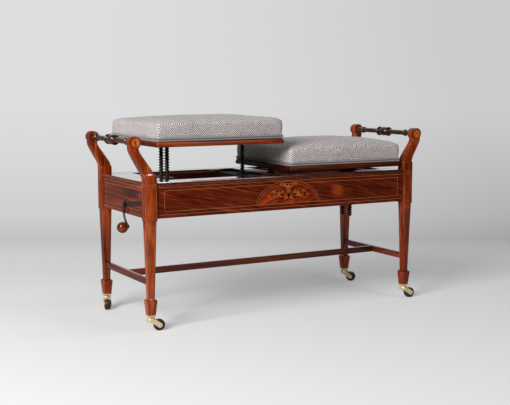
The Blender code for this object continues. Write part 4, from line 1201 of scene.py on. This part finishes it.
# castors
castor = {
    "headings": {"front_left": -8, "front_right": 0, "back_left": -108, "back_right": -48},
    "trail": 0.0245, "axleZ": 0.016446, "yokeZ": 0.026246, "collarZ": 0.033746,
    "cup": ((0.0003, 0.0266), (0.003, 0.0266), (0.003, 0.0391), (0.0104, 0.0391), (0.0112, 0.0395),
            (0.0116, 0.0404), (0.0118, 0.0416), (0.0125, 0.043), (0.0132, 0.0445), (0.0003, 0.045)),
    "plate": ((0.0008, 0.0443), (0.0, 0.0449), (0.0, 0.0462), (0.0007, 0.0468)),  # inset and height
    "plateHalf": 0.01425, "plateCorner": 0.0022,
    "collar": ((0.0034, 0), (0.0102, 0), (0.0112, 0.0006), (0.0115, 0.0016), (0.0115, 0.0034), (0.0111, 0.0045),
               (0.0102, 0.005), (0.0034, 0.005)),
    "yoke": (-0.0095, 0.0098), "yokeInset": 0.0004, "yokeCorner": 0.0035,
    "cheekIn": 0.0098, "cheekOut": 0.0123, "cheekEdge": 0.0006, "cheekScale": 0.955, "eye": 0.00775,
    "wheel": 0.0167, "wheelHalf": 0.009,
}


def makeCastor(name):
    sx, sy = corners[name]
    x, y = sx * bench["legX"], sy * bench["legY"]
    place = Matrix.Translation((x, y, 0)) @ Matrix.Rotation(radians(castor["headings"][name]), 4, "Z")
    axleZ, collarZ, yokeZ, trail = castor["axleZ"], castor["collarZ"], castor["yokeZ"], castor["trail"]

    bm = bmesh.new()
    lathe(bm, castor["cup"], (x, y, 0), (0, 0, 1), 40)
    plate = []
    for inset, z in castor["plate"]:
        reach = castor["plateHalf"] - inset
        outline = roundedBox(-reach, reach, -reach, reach, castor["plateCorner"], 4)
        plate.append([(x + p.x, y + p.y, z) for p in outline])
    loft(bm, plate)
    addPiece(f"brass_cup_{name}", bm, "brass", "frame", [f"castor_cup_{name}"])

    bm = bmesh.new()
    lathe(bm, castor["collar"], (0, 0, collarZ), (0, 0, 1), 40, True)
    inner, outer = castor["cheekIn"], castor["cheekOut"]
    wide = outer - castor["yokeInset"]
    yoke = roundedBox(*castor["yoke"], -wide, wide, castor["yokeCorner"], 4)
    loft(bm, [lifted(yoke, yokeZ + 0.0004), lifted(yoke, collarZ + 0.001)])
    turns = [radians(70 - 195 * k / 12) for k in range(13)]
    cheek = [(-0.0092, yokeZ + 0.003), (-0.0092, collarZ + 0.0012), (0.0085, collarZ + 0.0012),
             (0.0165, collarZ - 0.0028)]
    cheek += [(trail + castor["eye"] * cos(a), axleZ + castor["eye"] * sin(a)) for a in turns]
    cheek += [(0.0095, axleZ + 0.002), (-0.003, yokeZ - 0.0006)]
    cheek = roundCorners([Vector(p) for p in cheek])
    centre = Vector((0.0125, yokeZ))
    for sign in (-1, 1):
        loops = []
        for out, scale in ((inner, 1), (outer - castor["cheekEdge"], 1), (outer, castor["cheekScale"])):
            spots = [(p - centre) * scale + centre for p in cheek]
            loops.append([(p.x, sign * out, p.y) for p in spots])
        loft(bm, loops)
    tip = -(outer + 0.0008)
    pin = [(0.0004, tip), (0.0018, tip + 0.0001), (0.0027, tip + 0.0005), (0.0029, tip + 0.001), (0.0025, -0.012)]
    pin += [(r, -along) for r, along in reversed(pin)]
    lathe(bm, pin, (trail, 0, axleZ), (0, 1, 0), 28)
    bmesh.ops.transform(bm, matrix=place, verts=bm.verts)
    addPiece(f"brass_fork_{name}", bm, "brass", f"castor_{name}", [f"castor_fork_{name}"])

    bm = bmesh.new()
    r, face = castor["wheel"], -castor["wheelHalf"]
    wheel = [(0.0029, face), (0.0046, face), (0.0052, face + 0.0007), (0.0098, face + 0.0008), (0.0108, face),
             (0.0138, face), (0.0152, face + 0.0008), (0.0163, face + 0.0026), (r, face + 0.0046), (r, -0.0009),
             (r - 0.0005, -0.0004)]
    wheel += [(radius, -along) for radius, along in reversed(wheel)]
    lathe(bm, wheel, (trail, 0, axleZ), (0, 1, 0), 56, True)
    bmesh.ops.transform(bm, matrix=place, verts=bm.verts)
    addPiece(f"turned_wheel_{name}", bm, "turnedWheel", f"wheel_{name}", [f"castor_wheel_{name}"])


for name in corners:
    makeCastor(name)
print("castors done")


# studio
studio = {
    "floor": (0.64, 0.64, 0.645),
    "low": ((0.575, 0.575, 0.575), (0.36, 0.35, 0.345)),  # painted light of the glowing sheet at its foot, left and right, darker than higher up
    "high": ((0.725, 0.725, 0.735), (0.61, 0.602, 0.607)),
    "paintedFloorLight": ((0.87, 0.87, 0.875), (0.66, 0.655, 0.655)),  # painted light laid on the floor round the bench, paler at the left, which lifts the bench's shadow
    "shadeFrom": -0.39, "shadeWidth": 2.15, "shadeSkew": 0.213, "shadePower": 1.4,  # from left to right
    "riseHeight": 0.55, "risePower": 0.5,
    "farFrom": 0.54, "farWidth": 1.28,
    "frontFrom": -1.9, "frontWidth": 0.6,
    "mirrorFrom": -1.0, "mirrorWidth": 1.6,  # polish sees the sheet from here to the right
    "width": 9.0, "front": -5.0, "bend": 1.4, "radius": 1.6, "top": 4.5,
    "air": (0.95, 0.97, 1.0), "airStrength": 0.07, "beyond": (0.66, 0.66, 0.67),
}
lamps = {  # place, aim, size, power
    "key": ((-3.36, -1.66, 2.38), (0, 0, 0.3), 1.9, 264),
    "fill": ((1.25, -2.75, 2.0), (0, 0, 0.35), 0.8, 16),
    "top": ((0.63, -0.58, 2.9), (0, 0, 0.4), 0.36, 9.0),
}
view = {"azimuth": -29.66, "elevation": 6.854, "target": (-0.01294, 0, 0.33), "distance": 3.272, "lens": 71.65}


def sweepPaper(az):
    material, m, at = newMaterial("studioSweep")
    x, y, z = (at.part(axis) for axis in range(3))
    depth, across = y * cos(az) - x * sin(az), x * cos(az) + y * sin(az)
    paper = at.cloud(40, 3)
    glossy = m.node("LightPath", out="Is Glossy Ray")  # polish mirrors a darker room than the camera sees
    black = (0, 0, 0)
    sheet = paper.tint(studio["floor"], [c * 0.97 for c in studio["floor"]])
    front = (0 - (y - studio["frontFrom"]) / studio["frontWidth"]).clamp()  # 1 beyond the front end of the paper
    sheet = (glossy * (0.5 + 0.45 * front)).tint(sheet, black)
    floor = m.node("BsdfPrincipled", {}, {"Base Color": sheet, "Roughness": 0.8, "Specular IOR Level": 0.15})
    right = (across + depth * studio["shadeSkew"] - studio["shadeFrom"]) / studio["shadeWidth"]
    right = m.maths("POWER", right.clamp(), studio["shadePower"])
    rise = m.maths("POWER", (z / studio["riseHeight"]).clamp(), studio["risePower"])
    colour = rise.tint(right.tint(*studio["low"]), right.tint(*studio["high"]))
    far = ((depth - studio["farFrom"]) / studio["farWidth"]).clamp()
    colour = (far * 1.6).clamp().tint(right.tint(*studio["paintedFloorLight"]), colour)
    mirrored = ((x - studio["mirrorFrom"]) / studio["mirrorWidth"]).clamp() * far
    colour = (glossy * (1 - mirrored) * (0.75 + 0.25 * front)).tint(colour, black)
    # the sheet glows in painted light and painted shade, paler to the left and higher up; near the bench this glow is
    # laid at 30 per cent over the lit floor
    glow = m.node("Emission", {}, {"Color": colour, "Strength": 1.0})
    seen = (m.node("LightPath", out="Is Camera Ray") + glossy) * (0.3 + 0.7 * far)
    m.node("OutputMaterial", {}, {"Surface": m.node("MixShader", {}, {0: seen, 1: floor, 2: glow})})
    return material


def makeSweep():
    az = radians(view["azimuth"])  # the sheet hangs square to the photo's line of sight
    bend, radius = studio["bend"], studio["radius"]
    points = [(studio["front"], 0), (bend, 0)]
    for a in (pi / 2 * k / 20 for k in range(1, 21)):
        points.append((bend + radius * sin(a), radius * (1 - cos(a))))
    points.append((bend + radius, studio["top"]))
    bm = bmesh.new()
    turn = Matrix.Rotation(az, 3, "Z")
    rows = [[bm.verts.new(turn @ Vector((sx * studio["width"], py, pz))) for sx in (-1, 1)] for py, pz in points]
    for low, high in zip(rows, rows[1:]):
        bm.faces.new((low[0], low[1], high[1], high[0]))
    mesh = bpy.data.meshes.new("studio_sweep")
    bm.to_mesh(mesh)
    bm.free()
    mesh.shade_smooth()
    mesh.materials.append(sweepPaper(az))
    backdrop = bpy.data.objects.new("studio_sweep", mesh)
    scene.collection.objects.link(backdrop)


def makeStudio():
    for name, (place, aim, size, power) in lamps.items():
        lamp = bpy.data.lights.new(name, "AREA")
        lamp.size = size
        lamp.energy = power
        holder = bpy.data.objects.new(name, lamp)
        holder.location = place
        holder.rotation_euler = (Vector(place) - Vector(aim)).to_track_quat("Z", "Y").to_euler()
        scene.collection.objects.link(holder)
    world = bpy.data.worlds.new("studioAir")
    world.use_nodes = True
    world.node_tree.nodes.clear()
    air = Sock(world.node_tree)
    dim = air.node("Background", {}, {"Color": (*studio["air"], 1), "Strength": studio["airStrength"]})
    pale = air.node("Background", {}, {"Color": (*studio["beyond"], 1), "Strength": 1.0})  # past the sheet's edges
    seen = air.node("LightPath", out="Is Camera Ray")
    air.node("OutputWorld", {}, {"Surface": air.node("MixShader", {}, {0: seen, 1: dim, 2: pale})})
    scene.world = world

    az, el = radians(view["azimuth"]), radians(view["elevation"])
    back = Vector((sin(az) * cos(el), -cos(az) * cos(el), sin(el)))
    camera = bpy.data.objects.new("camera", bpy.data.cameras.new("camera"))
    camera.data.lens = view["lens"]
    camera.data.sensor_width = 36
    camera.location = Vector(view["target"]) + back * view["distance"]
    camera.rotation_euler = back.to_track_quat("Z", "Y").to_euler()
    scene.collection.objects.link(camera)
    scene.camera = camera
    scene.view_settings.view_transform = "Standard"


makeSweep()
makeStudio()
print("studio done")
